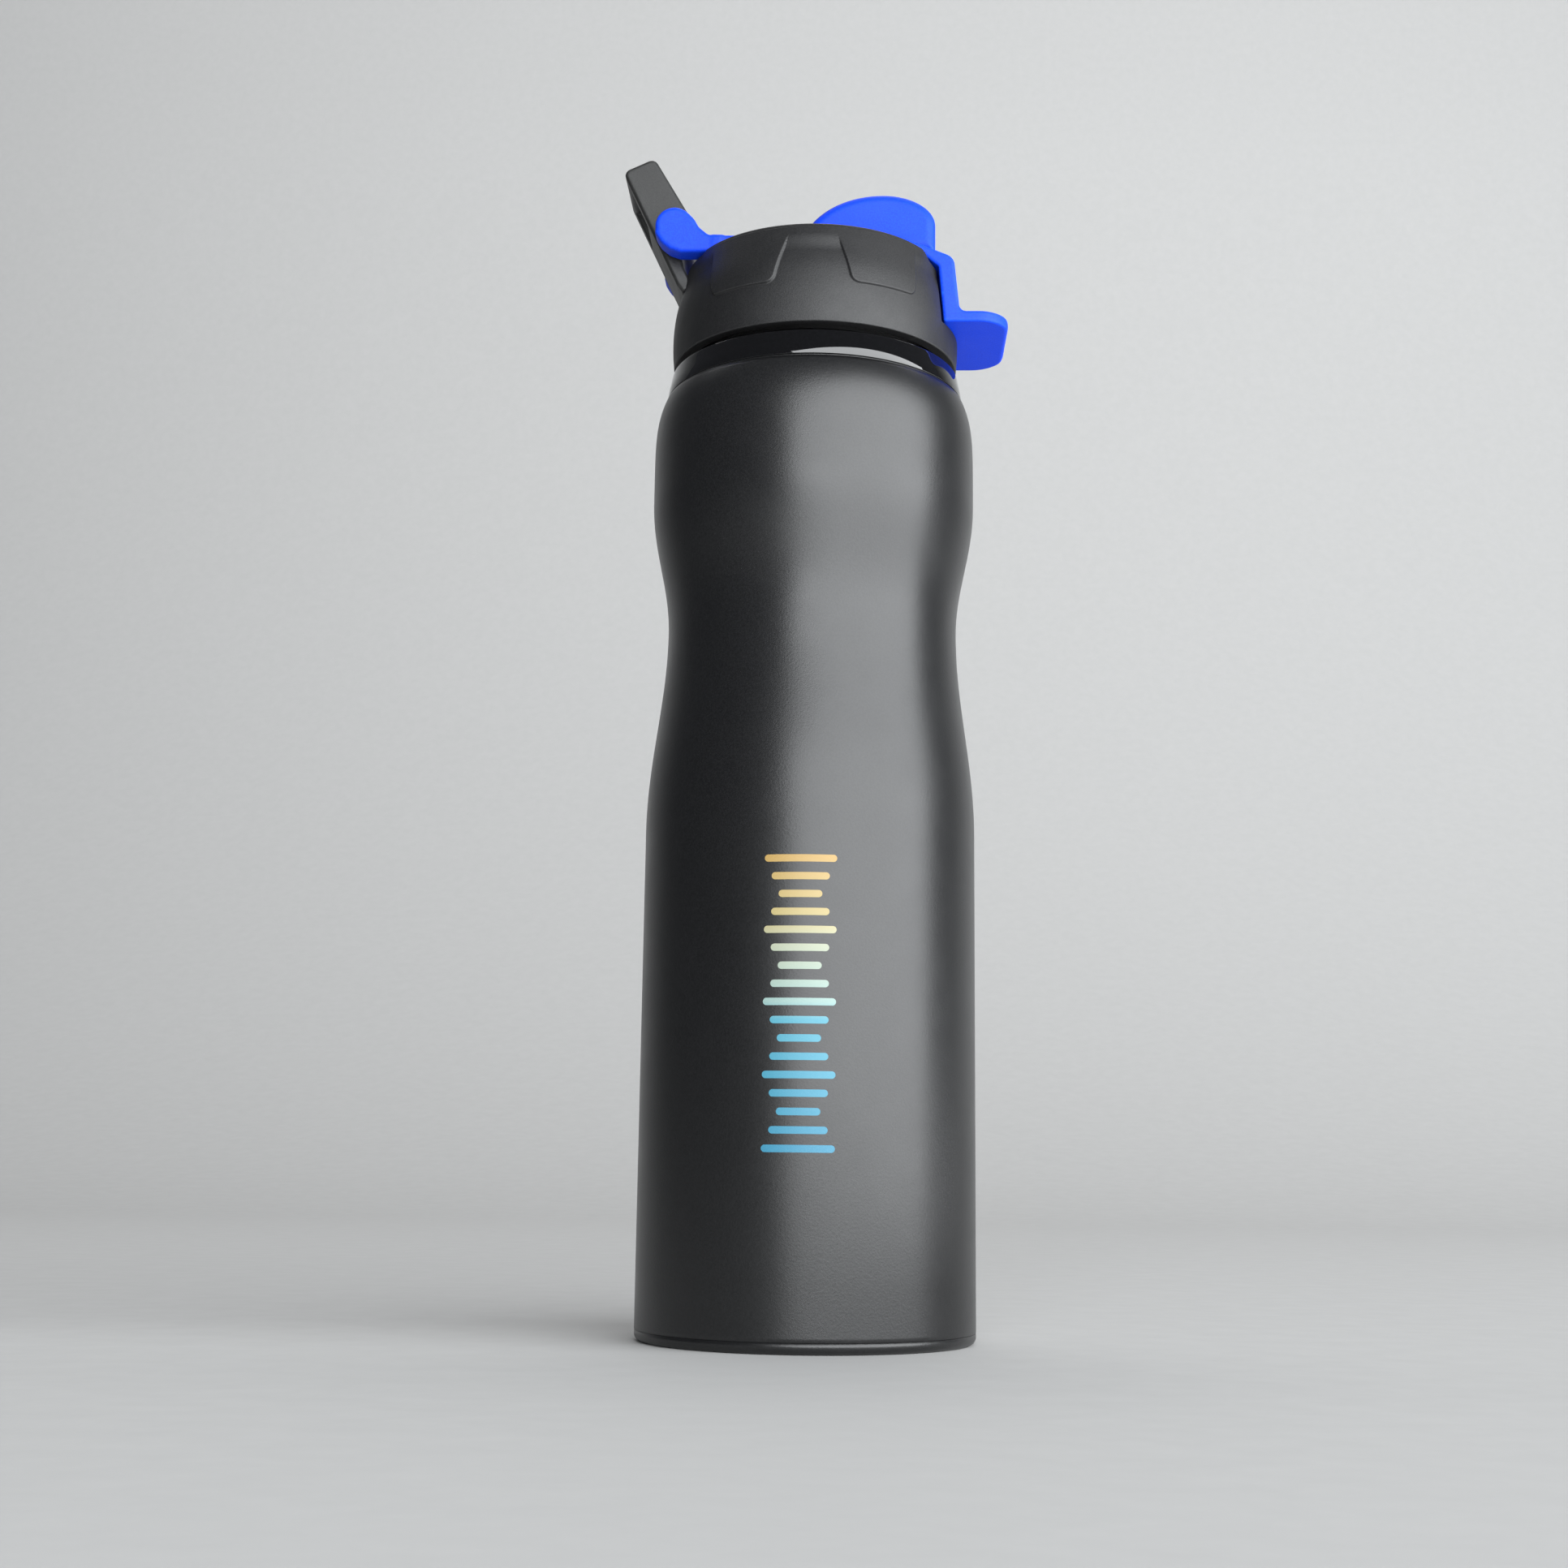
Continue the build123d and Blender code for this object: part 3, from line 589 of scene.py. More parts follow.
@dataclass(frozen=True)
class Finish:
    """Surface finish made of nodes.

    Attributes:
        name: material name.
        colour: base colour, linear.
        second: colour that the fine variation goes towards.
        rough_low: least roughness.
        rough_high: greatest roughness.
        grain: fine grain, cells per metre.
        grain_mm: height of the grain.
        wave: slow unevenness, cells per metre.
        wave_mm: height of the unevenness.
        edge: colour of rubbed edges, or None.
        metallic: 1 for bare metal.
        coat: share of clear coat.
        specular: specular level.
        subsurface: share of light that passes under the surface.
        stretch: scale of the grain along X, Y and Z.
    """

    name: str
    colour: Colour
    second: Colour
    rough_low: float
    rough_high: float
    grain: float
    grain_mm: float
    wave: float
    wave_mm: float
    edge: Optional[Colour] = None
    metallic: float = 0.0
    coat: float = 0.0
    specular: float = 0.5
    subsurface: float = 0.0
    stretch: tuple[float, float, float] = (1.0, 1.0, 1.0)

    def build(self) -> bpy.types.Material:
        """The material, made once and shared.

        Returns:
            The finish's material.
        """
        found = bpy.data.materials.get(self.name)
        if found is not None:
            return found
        g = Graph(self.name)
        grain = g.noise(self.grain, 2.0, 0.6, self.stretch)
        cloud = g.noise(self.wave, 4.0, 0.6)
        smudge = g.noise(self.wave * SMUDGE_SCALE, 3.0, 0.5)
        colour = g.blend(g.spread(grain, *GRAIN_RANGE, 0, 1), self.colour, self.second)
        if self.edge is not None:
            colour = self._worn(g, colour, smudge)
        g.link(colour, g.shader.inputs["Base Color"])
        mixed = g.node("ShaderNodeMath", operation="MULTIPLY_ADD")
        g.link(cloud, mixed.inputs[0])
        mixed.inputs[1].default_value = CLOUD_SHARE
        g.link(g.spread(smudge, 0, 1, 0, SMUDGE_SHARE), mixed.inputs[2])
        rough = g.spread(mixed.outputs[0], *CLOUD_RANGE, self.rough_low, self.rough_high)
        g.link(rough, g.shader.inputs["Roughness"])
        g.bump([(cloud, self.wave_mm), (grain, self.grain_mm)])
        g.shader.inputs["Metallic"].default_value = self.metallic
        g.shader.inputs["Specular IOR Level"].default_value = self.specular
        g.shader.inputs["Coat Weight"].default_value = self.coat
        g.shader.inputs["Coat Roughness"].default_value = COAT_ROUGHNESS
        if self.subsurface:
            g.shader.inputs["Subsurface Weight"].default_value = self.subsurface
            g.shader.inputs["Subsurface Radius"].default_value = (1.0, 1.0, 1.0)
            g.shader.inputs["Subsurface Scale"].default_value = SUBSURFACE_DEPTH
        return g.material

    def _worn(self, g: Graph, colour: Socket, smudge: Socket) -> Socket:
        """Colour with lighter rubbed edges.

        Args:
            g: the material's nodes.
            colour: colour before wear.
            smudge: noise that breaks the wear up.

        Returns:
            The worn colour.
        """
        sharp = g.node("ShaderNodeNewGeometry").outputs["Pointiness"]
        broken = g.node("ShaderNodeMath", operation="MULTIPLY")
        g.link(g.spread(sharp, *WORN_EDGE, 0, WORN_MOST), broken.inputs[0])
        g.link(g.spread(smudge, *SMUDGE_RANGE, WORN_LEAST, 1), broken.inputs[1])
        return g.blend(broken.outputs[0], colour, self.edge)


@dataclass(frozen=True)
class PrintedInk:
    """Ink whose colour runs from amber through pale to blue down the bottle.

    Attributes:
        name: material name.
        top: height of the first colour, millimetres.
        bottom: height of the last colour.
        stops: (share of the way down, colour).
    """

    name: str
    top: float
    bottom: float
    stops: tuple[tuple[float, Colour], ...]

    def build(self) -> bpy.types.Material:
        """The ink's material.

        Returns:
            The material, its colours spread between top and bottom.
        """
        g = Graph(self.name)
        split = g.node("ShaderNodeSeparateXYZ")
        g.link(g.place, split.inputs[0])
        share = g.spread(split.outputs["Z"], self.top * MM, self.bottom * MM, 0, 1)
        ramp = g.node("ShaderNodeValToRGB")
        marks = ramp.color_ramp.elements
        while len(marks) < len(self.stops):
            marks.new(0.5)
        for mark, (at, colour) in zip(marks, self.stops):
            mark.position = at
            mark.color = (*colour, 1)
        g.link(share, ramp.inputs["Fac"])
        g.link(ramp.outputs["Color"], g.shader.inputs["Base Color"])
        grain = g.noise(INK_GRAIN, 2.0)
        g.link(g.spread(grain, *CLOUD_RANGE, *INK_ROUGHNESS), g.shader.inputs["Roughness"])
        g.bump([(grain, INK_GRAIN_MM)])
        return g.material


POWDER = Finish("powder_coat_black", (0.0045, 0.0046, 0.0049), (0.0082, 0.0083, 0.0088),
                0.3, 0.36, grain=2300, grain_mm=0.02, wave=45, wave_mm=0.015)
STEEL = Finish("drawn_steel", (0.62, 0.61, 0.59), (0.52, 0.51, 0.5), 0.2, 0.34, grain=900,
               grain_mm=0.006, wave=80, wave_mm=0.01, metallic=1.0, stretch=(0.3, 0.3, 6.0))
SMOKE = Finish("smoked_ring_gloss", (0.0018, 0.0018, 0.002), (0.0026, 0.0026, 0.003),
               0.03, 0.045, grain=1500, grain_mm=0.0005, wave=90, wave_mm=0.003, coat=0.35)
CAP_BLACK = Finish("cap_matte_black", (0.0045, 0.0045, 0.005), (0.0095, 0.0095, 0.01),
                   0.46, 0.58, grain=3000, grain_mm=0.035, wave=70, wave_mm=0.012,
                   edge=(0.03, 0.03, 0.03), specular=0.4)
INNER = Finish("inner_black", (0.02, 0.02, 0.021), (0.03, 0.03, 0.03), 0.42, 0.5, grain=1800,
               grain_mm=0.01, wave=60, wave_mm=0.01)
LOOP = Finish("loop_satin_black", (0.009, 0.009, 0.0088), (0.0145, 0.0145, 0.014),
              0.42, 0.54, grain=2600, grain_mm=0.022, wave=80, wave_mm=0.014,
              edge=(0.035, 0.035, 0.034), specular=0.42)
BLUE = Finish("cover_cobalt", (0.0012, 0.03, 0.5), (0.002, 0.042, 0.58), 0.5, 0.62, grain=2600,
              grain_mm=0.022, wave=75, wave_mm=0.012, edge=(0.01, 0.1, 0.85), specular=0.22)
SPOUT = Finish("spout_satin_grey", (0.3, 0.31, 0.32), (0.35, 0.36, 0.37), 0.34, 0.44, grain=1800,
               grain_mm=0.008, wave=60, wave_mm=0.01)
SILICONE = Finish("silicone_grey", (0.5, 0.51, 0.52), (0.56, 0.57, 0.58), 0.42, 0.55, grain=1500,
                  grain_mm=0.008, wave=120, wave_mm=0.02, subsurface=0.3)
GETTER = Finish("sintered_getter", (0.3, 0.3, 0.31), (0.42, 0.42, 0.43), 0.6, 0.75, grain=2200,
                grain_mm=0.06, wave=150, wave_mm=0.03, metallic=0.6)


def dress(obj: bpy.types.Object, material: bpy.types.Material, slot: Slot) -> None:
    """Gives an object one material.

    Args:
        obj: the object.
        material: its only material.
        slot: the record's slot that the material stands for; not used.
    """
    obj.data.materials.clear()
    obj.data.materials.append(material)


def seat(obj: bpy.types.Object, body: Body, *nodes: str) -> None:
    """Lets a new piece ride on a body in place of CAD nodes.

    Args:
        obj: the new piece.
        body: the body it moves with.
        *nodes: CAD nodes that it stands in for.
    """
    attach(obj, body.value)
    if nodes:
        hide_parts(*nodes)
    LOG.info("%s: %d faces, rides on %s", obj.name, len(obj.data.polygons), body.value)


# ---------------------------------------------------------------------------
# Bottle
# ---------------------------------------------------------------------------
@dataclass
class SteelBody:
    """Painted body with its pressed base and threaded neck.

    Attributes:
        radius: largest radius.
        height: height of the ledge under the collar.
        waist_z: narrowest height.
        waist_drop: how much smaller the waist is.
        below: blend length under the waist.
        above: blend length over it.
        shoulder: (length, drop) of the shoulder.
        neck_r: neck's outer radius.
        neck_z: underside of the lip.
        seam_z: top of the pressed base.
        edge_r: rounding of the base's edge.
        foot_w: width of the ring that the bottle stands on.
        wall: thickness of the steel.
        pitch: rise of the thread in one turn.
        turns: turns of the thread.
        thread_z: where the thread starts.
        thread_out: how far the thread stands out.
        segments: divisions round the axis.
    """

    radius: float = 36.5
    height: float = 209.5
    waist_z: float = 155.0
    waist_drop: float = 4.0
    below: float = 46.0
    above: float = 30.0
    shoulder: tuple[float, float] = (19.5, 2.6)
    neck_r: float = 23.4
    neck_z: float = 228.0
    seam_z: float = 2.4
    edge_r: float = 1.6
    foot_w: float = 3.6
    wall: float = 0.8
    pitch: float = 4.0
    turns: float = 1.5
    thread_z: float = 219.4
    thread_out: float = 0.9
    segments: int = 320

    def r(self, z: float) -> float:
        """Outer radius at a height.

        Args:
            z: height above the base.

        Returns:
            The radius.
        """
        blend = self.below if z < self.waist_z else self.above
        t = min(1.0, abs(z - self.waist_z) / blend)
        r = self.radius - self.waist_drop * math.cos(t * math.pi / 2) ** 2
        length, drop = self.shoulder
        start = self.height - length
        return r - (drop * ((z - start) / length) ** 4 if z > start else 0.0)

    def build(self) -> None:
        """Body and base as turned pieces, and the neck's thread."""
        ledge, inner = self.r(self.height), self.neck_r - self.wall
        lowest = self.height - 0.9
        side = [(self.r(z), z)
                for z in np.linspace(self.seam_z + 0.12, self.height - 0.5, 260)]
        lower = [(self.radius - 0.14, self.seam_z), (self.radius - 0.05, self.seam_z + 0.04)]
        top = rounded([(ledge, lowest), (ledge, self.height), (self.neck_r, self.height),
                       (self.neck_r, self.neck_z), (inner, self.neck_z), (inner, lowest)],
                      [0, 0.35, 0.5, 0.1, 0.1, 0])
        line = lower + side + spaced(top)
        shell = Lathe(line, self.segments).mesh("painted_body")
        self._add_thread(shell)
        dress(shell, POWDER.build(), Slot.POWDER)
        seat(shell, Body.BOTTLE, "outer_shell")
        base = Lathe(self._base_line(), self.segments).mesh("pressed_base")
        dress(base, POWDER.build(), Slot.POWDER)
        seat(base, Body.BOTTLE, "base_cup")

    def _base_line(self) -> list[Point2]:
        """Section of the base.

        Returns:
            (r, z) points from the seam to the hole in the middle of the recess.
        """
        r, e, hole_r = self.radius, self.edge_r, 1.5
        arc = [(r - e + e * math.cos(t), e - e * math.sin(t))
               for t in np.linspace(0, math.pi / 2, 10)]
        foot = r - e - self.foot_w
        rise = self.seam_z - self.wall
        rest = rounded([arc[-1], (foot, 0), (foot - rise, rise), (hole_r, rise),
                        (hole_r, self.seam_z)], [0, 0.5, 0.5, 0.1, 0])
        return [(r - 0.14, self.seam_z), (r - 0.03, self.seam_z - 0.06)] + arc + spaced(rest[1:])

    def _add_thread(self, shell: bpy.types.Object) -> None:
        """Adds the helical thread as a ridge that fades at both ends.

        Args:
            shell: the body that the ridge joins.
        """
        steps, fade_rate, root, top = 360, 14, -0.05, self.thread_out
        section = [(root, -1.0), (top * 0.75, -0.6), (top, -0.35),
                   (top, 0.35), (top * 0.75, 0.6), (root, 1.0)]
        verts, faces = [], []
        for i in range(steps + 1):
            t = i / steps
            fade = float(smoothstep(np.array(min(t, 1 - t) * fade_rate)))
            turn = t * self.turns * 2 * math.pi
            for out, up in section:
                r = self.neck_r + out * fade
                z = self.thread_z + self.pitch * self.turns * t + up
                verts.append((r * math.cos(turn), r * math.sin(turn), z))
        n = len(section)
        for i in range(steps):
            a, b = i * n, (i + 1) * n
            faces += [(a + j, b + j, b + j + 1, a + j + 1) for j in range(n - 1)]
        ridge = mesh_object("thread_ridge", np.array(verts), faces)
        merge(shell, [ridge])


def merge(target: bpy.types.Object, others: Sequence[bpy.types.Object]) -> None:
    """Joins other objects' meshes into target.

    Args:
        target: the object that is kept.
        others: the objects that go into it.
    """
    with bpy.context.temp_override(active_object=target,
                                   selected_editable_objects=[target, *others]):
        bpy.ops.object.join()


@dataclass
class Collar:
    """Glossy ring on the ledge.

    Attributes:
        low_r: radius at the ledge.
        bulge: strength of the curve in the lower part.
        bend: share of the height where the curve ends.
        z0: ledge height.
        z1: top height.
        bore: inner radius.
        foot_w: width of the foot's flat that is drawn.
        foot_round: rounding of the foot's edge.
        top_round: rounding of the top's outer and inner edge.
        segments: divisions round the axis.
    """

    low_r: float = 33.9
    bulge: float = 1.5
    bend: float = 0.4
    z0: float = 209.5
    z1: float = 215.3
    bore: float = 23.45
    foot_w: float = 2.2
    foot_round: float = 0.12
    top_round: tuple[float, float] = (0.45, 0.3)
    segments: int = 384

    def r(self, t: float) -> float:
        """Outer radius, curved low down and straight above.

        Args:
            t: share of the height.

        Returns:
            The radius.
        """
        fall = t * t if t < self.bend else self.bend * (2 * t - self.bend)
        return self.low_r - self.bulge * fall

    def build(self) -> None:
        """Turned ring with soft edges."""
        side = [(self.r(t), self.z0 + (self.z1 - self.z0) * t)
                for t in np.linspace(0.05, 0.9, 18)]
        foot = rounded([(self.low_r - self.foot_w, self.z0), (self.low_r, self.z0), side[0]],
                       [0, self.foot_round, 0])
        top = rounded([side[-1], (self.r(1.0), self.z1), (self.bore, self.z1),
                       (self.bore, self.z0)], [0, *self.top_round, 0])
        line = spaced(foot[:-1], 0.9) + side[1:-1] + spaced(top[1:], 0.9)
        ring = Lathe(line, self.segments).mesh("collar_ring")
        dress(ring, SMOKE.build(), Slot.SMOKE)
        seat(ring, Body.BOTTLE, "neck_collar")


@dataclass
class InkBars:
    """Column of plain rounded bars printed on the body.

    Attributes:
        body: the body they lie on.
        turn_deg: direction of the column from -Y towards +X.
        top: height of the first bar.
        bottom: height of the last bar.
        thickness: height of one bar.
        above: how far the ink stands off the paint.
        lengths: length of each bar, first at the top.
        stops: (share of the way down, colour) of the ink.
    """

    body: SteelBody
    turn_deg: float = -1.6
    top: float = 99.0
    bottom: float = 40.2
    thickness: float = 1.5
    above: float = 0.03
    lengths: tuple[float, ...] = (15, 12, 9, 12) * 4 + (15,)
    stops: tuple[tuple[float, Colour], ...] = (
        (0.0, (0.29, 0.18, 0.045)), (0.22, (0.29, 0.24, 0.1)), (0.3, (0.26, 0.28, 0.2)),
        (0.5, (0.19, 0.29, 0.27)), (0.56, (0.045, 0.22, 0.29)), (1.0, (0.022, 0.17, 0.27)))

    def build(self) -> None:
        """Bars as one thin piece just above the paint."""
        verts: list[tuple[float, float, float]] = []
        faces: list[tuple[int, ...]] = []
        across, along = 9, 40
        cap = self.thickness / 2
        for i, length in enumerate(self.lengths):
            z0 = self.top + (self.bottom - self.top) * i / (len(self.lengths) - 1)
            first = len(verts)
            for s in np.linspace(-1, 1, along):
                run = math.sin(s * math.pi / 2) * length / 2
                over = max(abs(run) - (length / 2 - cap), 0)
                half = math.sqrt(max(cap * cap - over * over, 0))
                for t in np.linspace(-1, 1, across):
                    z = z0 + half * t
                    r = self.body.r(z) + self.above
                    turn = math.radians(self.turn_deg) + run / r
                    verts.append((r * math.sin(turn), -r * math.cos(turn), z))
            quads = grid_faces(along, across, False) + first
            faces += [tuple(q) for q in quads.tolist()]
        bars = mesh_object("ink_bars", np.array(verts), faces)
        ink = PrintedInk("bar_ink", self.top + 1, self.bottom - 1, self.stops)
        dress(bars, ink.build(), Slot.POWDER)
        seat(bars, Body.BOTTLE)


# ---------------------------------------------------------------------------
# Cap
# ---------------------------------------------------------------------------
# How near the bell's own radius a point counts as its wall, and the width of a cut's edge.
ON_BELL = 0.02
CUT_EDGE = 0.3


@dataclass
class Cap:
    """Moulded cap with a rim band, grip panels, rear notch and front flat.

    Attributes:
        z0: bottom edge.
        rim_z: top of the rim.
        deck_z: top of the deck.
        knots: (r, height above the bottom edge) of the plain bell.
        raise_mm: height of band and panels.
        band_z: middle of the soft step under the rim band.
        panel_z: lower edge of the panels.
        panel_deg: panel centres from the side faces.
        half_low: half width of a panel at its lower edge.
        half_high: half width at the band.
        corner_r: rounding of the panels' lower corners.
        step_w: width of a panel's edge.
        band_w: width of the band's soft step.
        panel_over: how far a panel's outline runs on over the band's middle.
        high_z: height at which a panel is half_high wide.
        notch_half: half width of notch and flat.
        notch_r: distance from the axis at which the notch starts.
        flat: (height, X) of the flat's section, lowest first.
        flat_in: smallest radius of the skin that the flat cuts.
        flat_in_top: how much smaller that is over the flat's middle point.
        lip_in: inner radius of the rim's lip.
        ceiling_z: underside of the deck.
        inner: (radius, lower edge) of the bore that takes the thread insert.
        skirt: (radius, upper edge) of the wider bore under it.
        foot_r: rounding of the bottom edge.
        segments: divisions round the axis.
    """

    z0: float = 217.4
    rim_z: float = 241.7
    deck_z: float = 240.2
    knots: tuple[Point2, ...] = ((32.6, 0.0), (32.9, 3.5), (32.85, 9.0), (32.35, 13.0),
                                 (30.35, 20.0), (28.9, 24.3))
    raise_mm: float = 0.6
    band_z: float = 236.7
    panel_z: float = 226.7
    panel_deg: float = 29.0
    half_low: float = 7.84
    half_high: float = 9.5
    corner_r: float = 2.0
    step_w: float = 0.34
    band_w: float = 4.4
    panel_over: float = 3.0
    high_z: float = 237.2
    notch_half: float = 16.1
    notch_r: float = 21.9
    flat: tuple[Point2, ...] = ((224.1, 28.8), (237.4, 27.6), (240.2, 23.61))
    flat_in: float = 27.0
    flat_in_top: float = 3.5
    lip_in: float = 27.6
    ceiling_z: float = 238.0
    inner: Point2 = (26.55, 223.8)
    skirt: Point2 = (30.2, 222.6)
    foot_r: float = 0.35
    segments: int = 1080

    def bell(self, z: Array) -> Array:
        """Plain bell's radius at a height."""
        return hermite([k[1] for k in self.knots], [k[0] for k in self.knots], z - self.z0)

    def lift(self, turn: Array, r: Array, z: Array) -> Array:
        """How far band and panels stand out at places on the bell.

        Args:
            turn: angle round the axis.
            r: plain bell's radius.
            z: height.

        Returns:
            The relief at each place.
        """
        far, reach = 99.0, 1.2
        top = self.band_z + self.panel_over
        grow = (self.half_high - self.half_low) * (top - self.panel_z)
        wide = self.half_low + grow / (self.high_z - self.panel_z)
        shape = rounded([(-self.half_low, self.panel_z), (self.half_low, self.panel_z),
                         (wide, top), (-wide, top)],
                        [self.corner_r, self.corner_r, 0, 0])
        away = np.full(z.shape, far)
        for side in (-90.0, 90.0):
            for turned in (-self.panel_deg, self.panel_deg):
                centre = math.radians(side + turned)
                delta = (turn - centre + math.pi) % (2 * math.pi) - math.pi
                u = np.where(np.abs(delta) < reach,
                             r * np.sin(np.clip(delta, -reach, reach)), far)
                away = np.minimum(away, polygon_distance(u, z, shape))
        panels = smoothstep(0.5 - away / self.step_w)
        band = smoothstep(0.5 + (z - self.band_z) / self.band_w)
        return self.raise_mm * np.maximum(panels, band)

    def build(self) -> None:
        """Cap as one turned skin with its relief and cuts."""
        axis_r, rim_out, rim_step, break_w, e = 0.01, 0.95, 0.12, 0.1, self.foot_r
        rim_r = self.knots[-1][0] + self.raise_mm
        heights = np.concatenate([np.linspace(self.z0 + 0.45, self.panel_z - 0.6, 34),
                                  np.arange(self.panel_z - 0.4, self.rim_z - 1.0, 0.13)])
        wall = [(float(self.bell(np.array(h))), float(h)) for h in heights]
        foot = [(wall[0][0] - e + e * math.cos(t), self.z0 + e - e * math.sin(t))
                for t in np.linspace(math.pi / 2, 0, 5)]
        bore = [(self.inner[0], self.ceiling_z), self.inner, self.skirt,
                (self.skirt[0], self.z0 + break_w), (self.skirt[0] + break_w, self.z0)]
        inside = spaced(bore + [foot[0]], 2.0)
        rim = [(rim_r - rim_out + rim_out * math.cos(t) + rim_step * math.cos(t),
                self.rim_z - 1.0 + math.sin(t)) for t in np.linspace(0.05, math.pi / 2, 9)]
        top = rounded([rim[-1], (self.lip_in, self.rim_z), (self.lip_in, self.deck_z),
                       (axis_r, self.deck_z)], [0, 0.4, 0.4, 0])
        lip = spaced(top[1:], 0.7)
        line = [(axis_r, self.ceiling_z)] + inside + foot[1:] + wall + rim + lip
        wall_end = len(line) - len(lip) - len(rim)
        skin = Lathe(line, self.segments).mesh(
            "cap_bell", lambda places: self._shape(places, wall_end))
        dress(skin, CAP_BLACK.build(), Slot.CAP_BLACK)
        seat(skin, Body.CAP, "cap_shell")

    def _shape(self, places: Array, wall_end: int) -> Array:
        """Adds the relief, then cuts the notch and the flat.

        Args:
            places: the turned grid.
            wall_end: first row after the outer wall.

        Returns:
            The grid's places after the cuts.
        """
        x, y, z = places[..., 0], places[..., 1], places[..., 2]
        r, turn = np.hypot(x, y), np.arctan2(y, x)
        outer = np.zeros_like(r)
        on_wall = np.abs(r - self.bell(z)) < ON_BELL
        on_wall[wall_end:] = False
        outer[on_wall] = self.lift(turn[on_wall], r[on_wall], z[on_wall])
        grown = r + outer
        x, y = grown * np.cos(turn), grown * np.sin(turn)
        share = smoothstep((self.notch_half + CUT_EDGE / 2 - np.abs(y)) / CUT_EDGE)
        cut = (z > self.deck_z) & (np.abs(x) > self.notch_r)
        z = np.where(cut, z + (self.deck_z - z) * share, z)
        flat = np.interp(z, [f[0] for f in self.flat], [f[1] for f in self.flat])
        skin_in = self.flat_in - self.flat_in_top * (z > self.flat[1][0])
        hit = (z > self.flat[0][0]) & (x > flat) & (grown > skin_in)
        x = np.where(hit, x + (flat - x) * share, x)
        return np.stack([x, y, z], -1)


# ---------------------------------------------------------------------------
# Hinged pieces
# ---------------------------------------------------------------------------
@dataclass(frozen=True)
class Hinge:
    """Hinge of the cover.

    Attributes:
        x: the axis's X.
        z: the axis's height.
        lobe: radius of the round lobe of each ear.
        ear_in: distance from the middle plane to an ear's inner face.
    """

    x: float = -32.2
    z: float = 248.0
    lobe: float = 4.3
    ear_in: float = 9.9


@dataclass
class CarryLoop:
    """Rigid loop behind the hinge.

    Attributes:
        hinge: the hinge axis.
        half: half width.
        hole_half: half width of the hole.
        hole_z: (lower, upper) edge of the hole.
        edge: rounding of the edges.
        net: grid of the mesh.
        line: side outline, filled in by build.
    """

    hinge: Hinge
    half: float = 9.5
    hole_half: float = 5.7
    hole_z: tuple[float, float] = (252.2, 260.6)
    edge: float = 0.8
    net: Net = Net((-46.0, -10.5, 233.5), (-27.0, 10.5, 268.0), 0.26)
    line: list[Point2] = field(default_factory=list)

    def outline(self) -> list[Point2]:
        """Side outline from the tip down to the root.

        Returns:
            (x, z) points, rounded at the tip.
        """
        hx, hz = self.hinge.x, self.hinge.z
        root_z, foot_z, inner_x, lean = 236.0, 234.4, -28.4, 0.47
        tip = (hx - 12.7, hz + 15.9)
        root = (tip[0] + (tip[1] - root_z) * lean, root_z)
        corners = [tip, (hx - 5.4, hz + 19.3), (hx + 3.8, hz + 3.6), (hx + 4.2, hz + 0.5),
                   (hx + 3.4, hz - 2.4), (hx + 1.3, hz - 4.4), (-30.2, 240.2),
                   (inner_x, 236.4), (inner_x, foot_z), (root[0] + 1.2, foot_z), root]
        return rounded(corners, [1.6, 1.6, 2.0, 2.0, 2.0, 2.0, 1.5, 0, 0, 0, 1.0])

    def value(self, x: Array, y: Array, z: Array) -> Array:
        """Field of the loop.

        Args:
            x: X of the places.
            y: Y of the places.
            z: height of the places.

        Returns:
            The field, negative inside.
        """
        solid = prism(polygon_distance(x, z, self.line), y, 0, self.half, self.edge)
        low, high = self.hole_z
        hole = np.maximum(np.abs(y) - self.hole_half,
                          np.abs(z - sum(self.hole_z) / 2) - (high - low) / 2)
        return meet(solid, -hole, self.edge)

    def build(self) -> None:
        """Loop as one smooth piece."""
        self.line = self.outline()
        loop = self.net.mesh("loop_handle", self.value)
        dress(loop, LOOP.build(), Slot.LOOP)
        seat(loop, Body.CAP, "carry_loop")


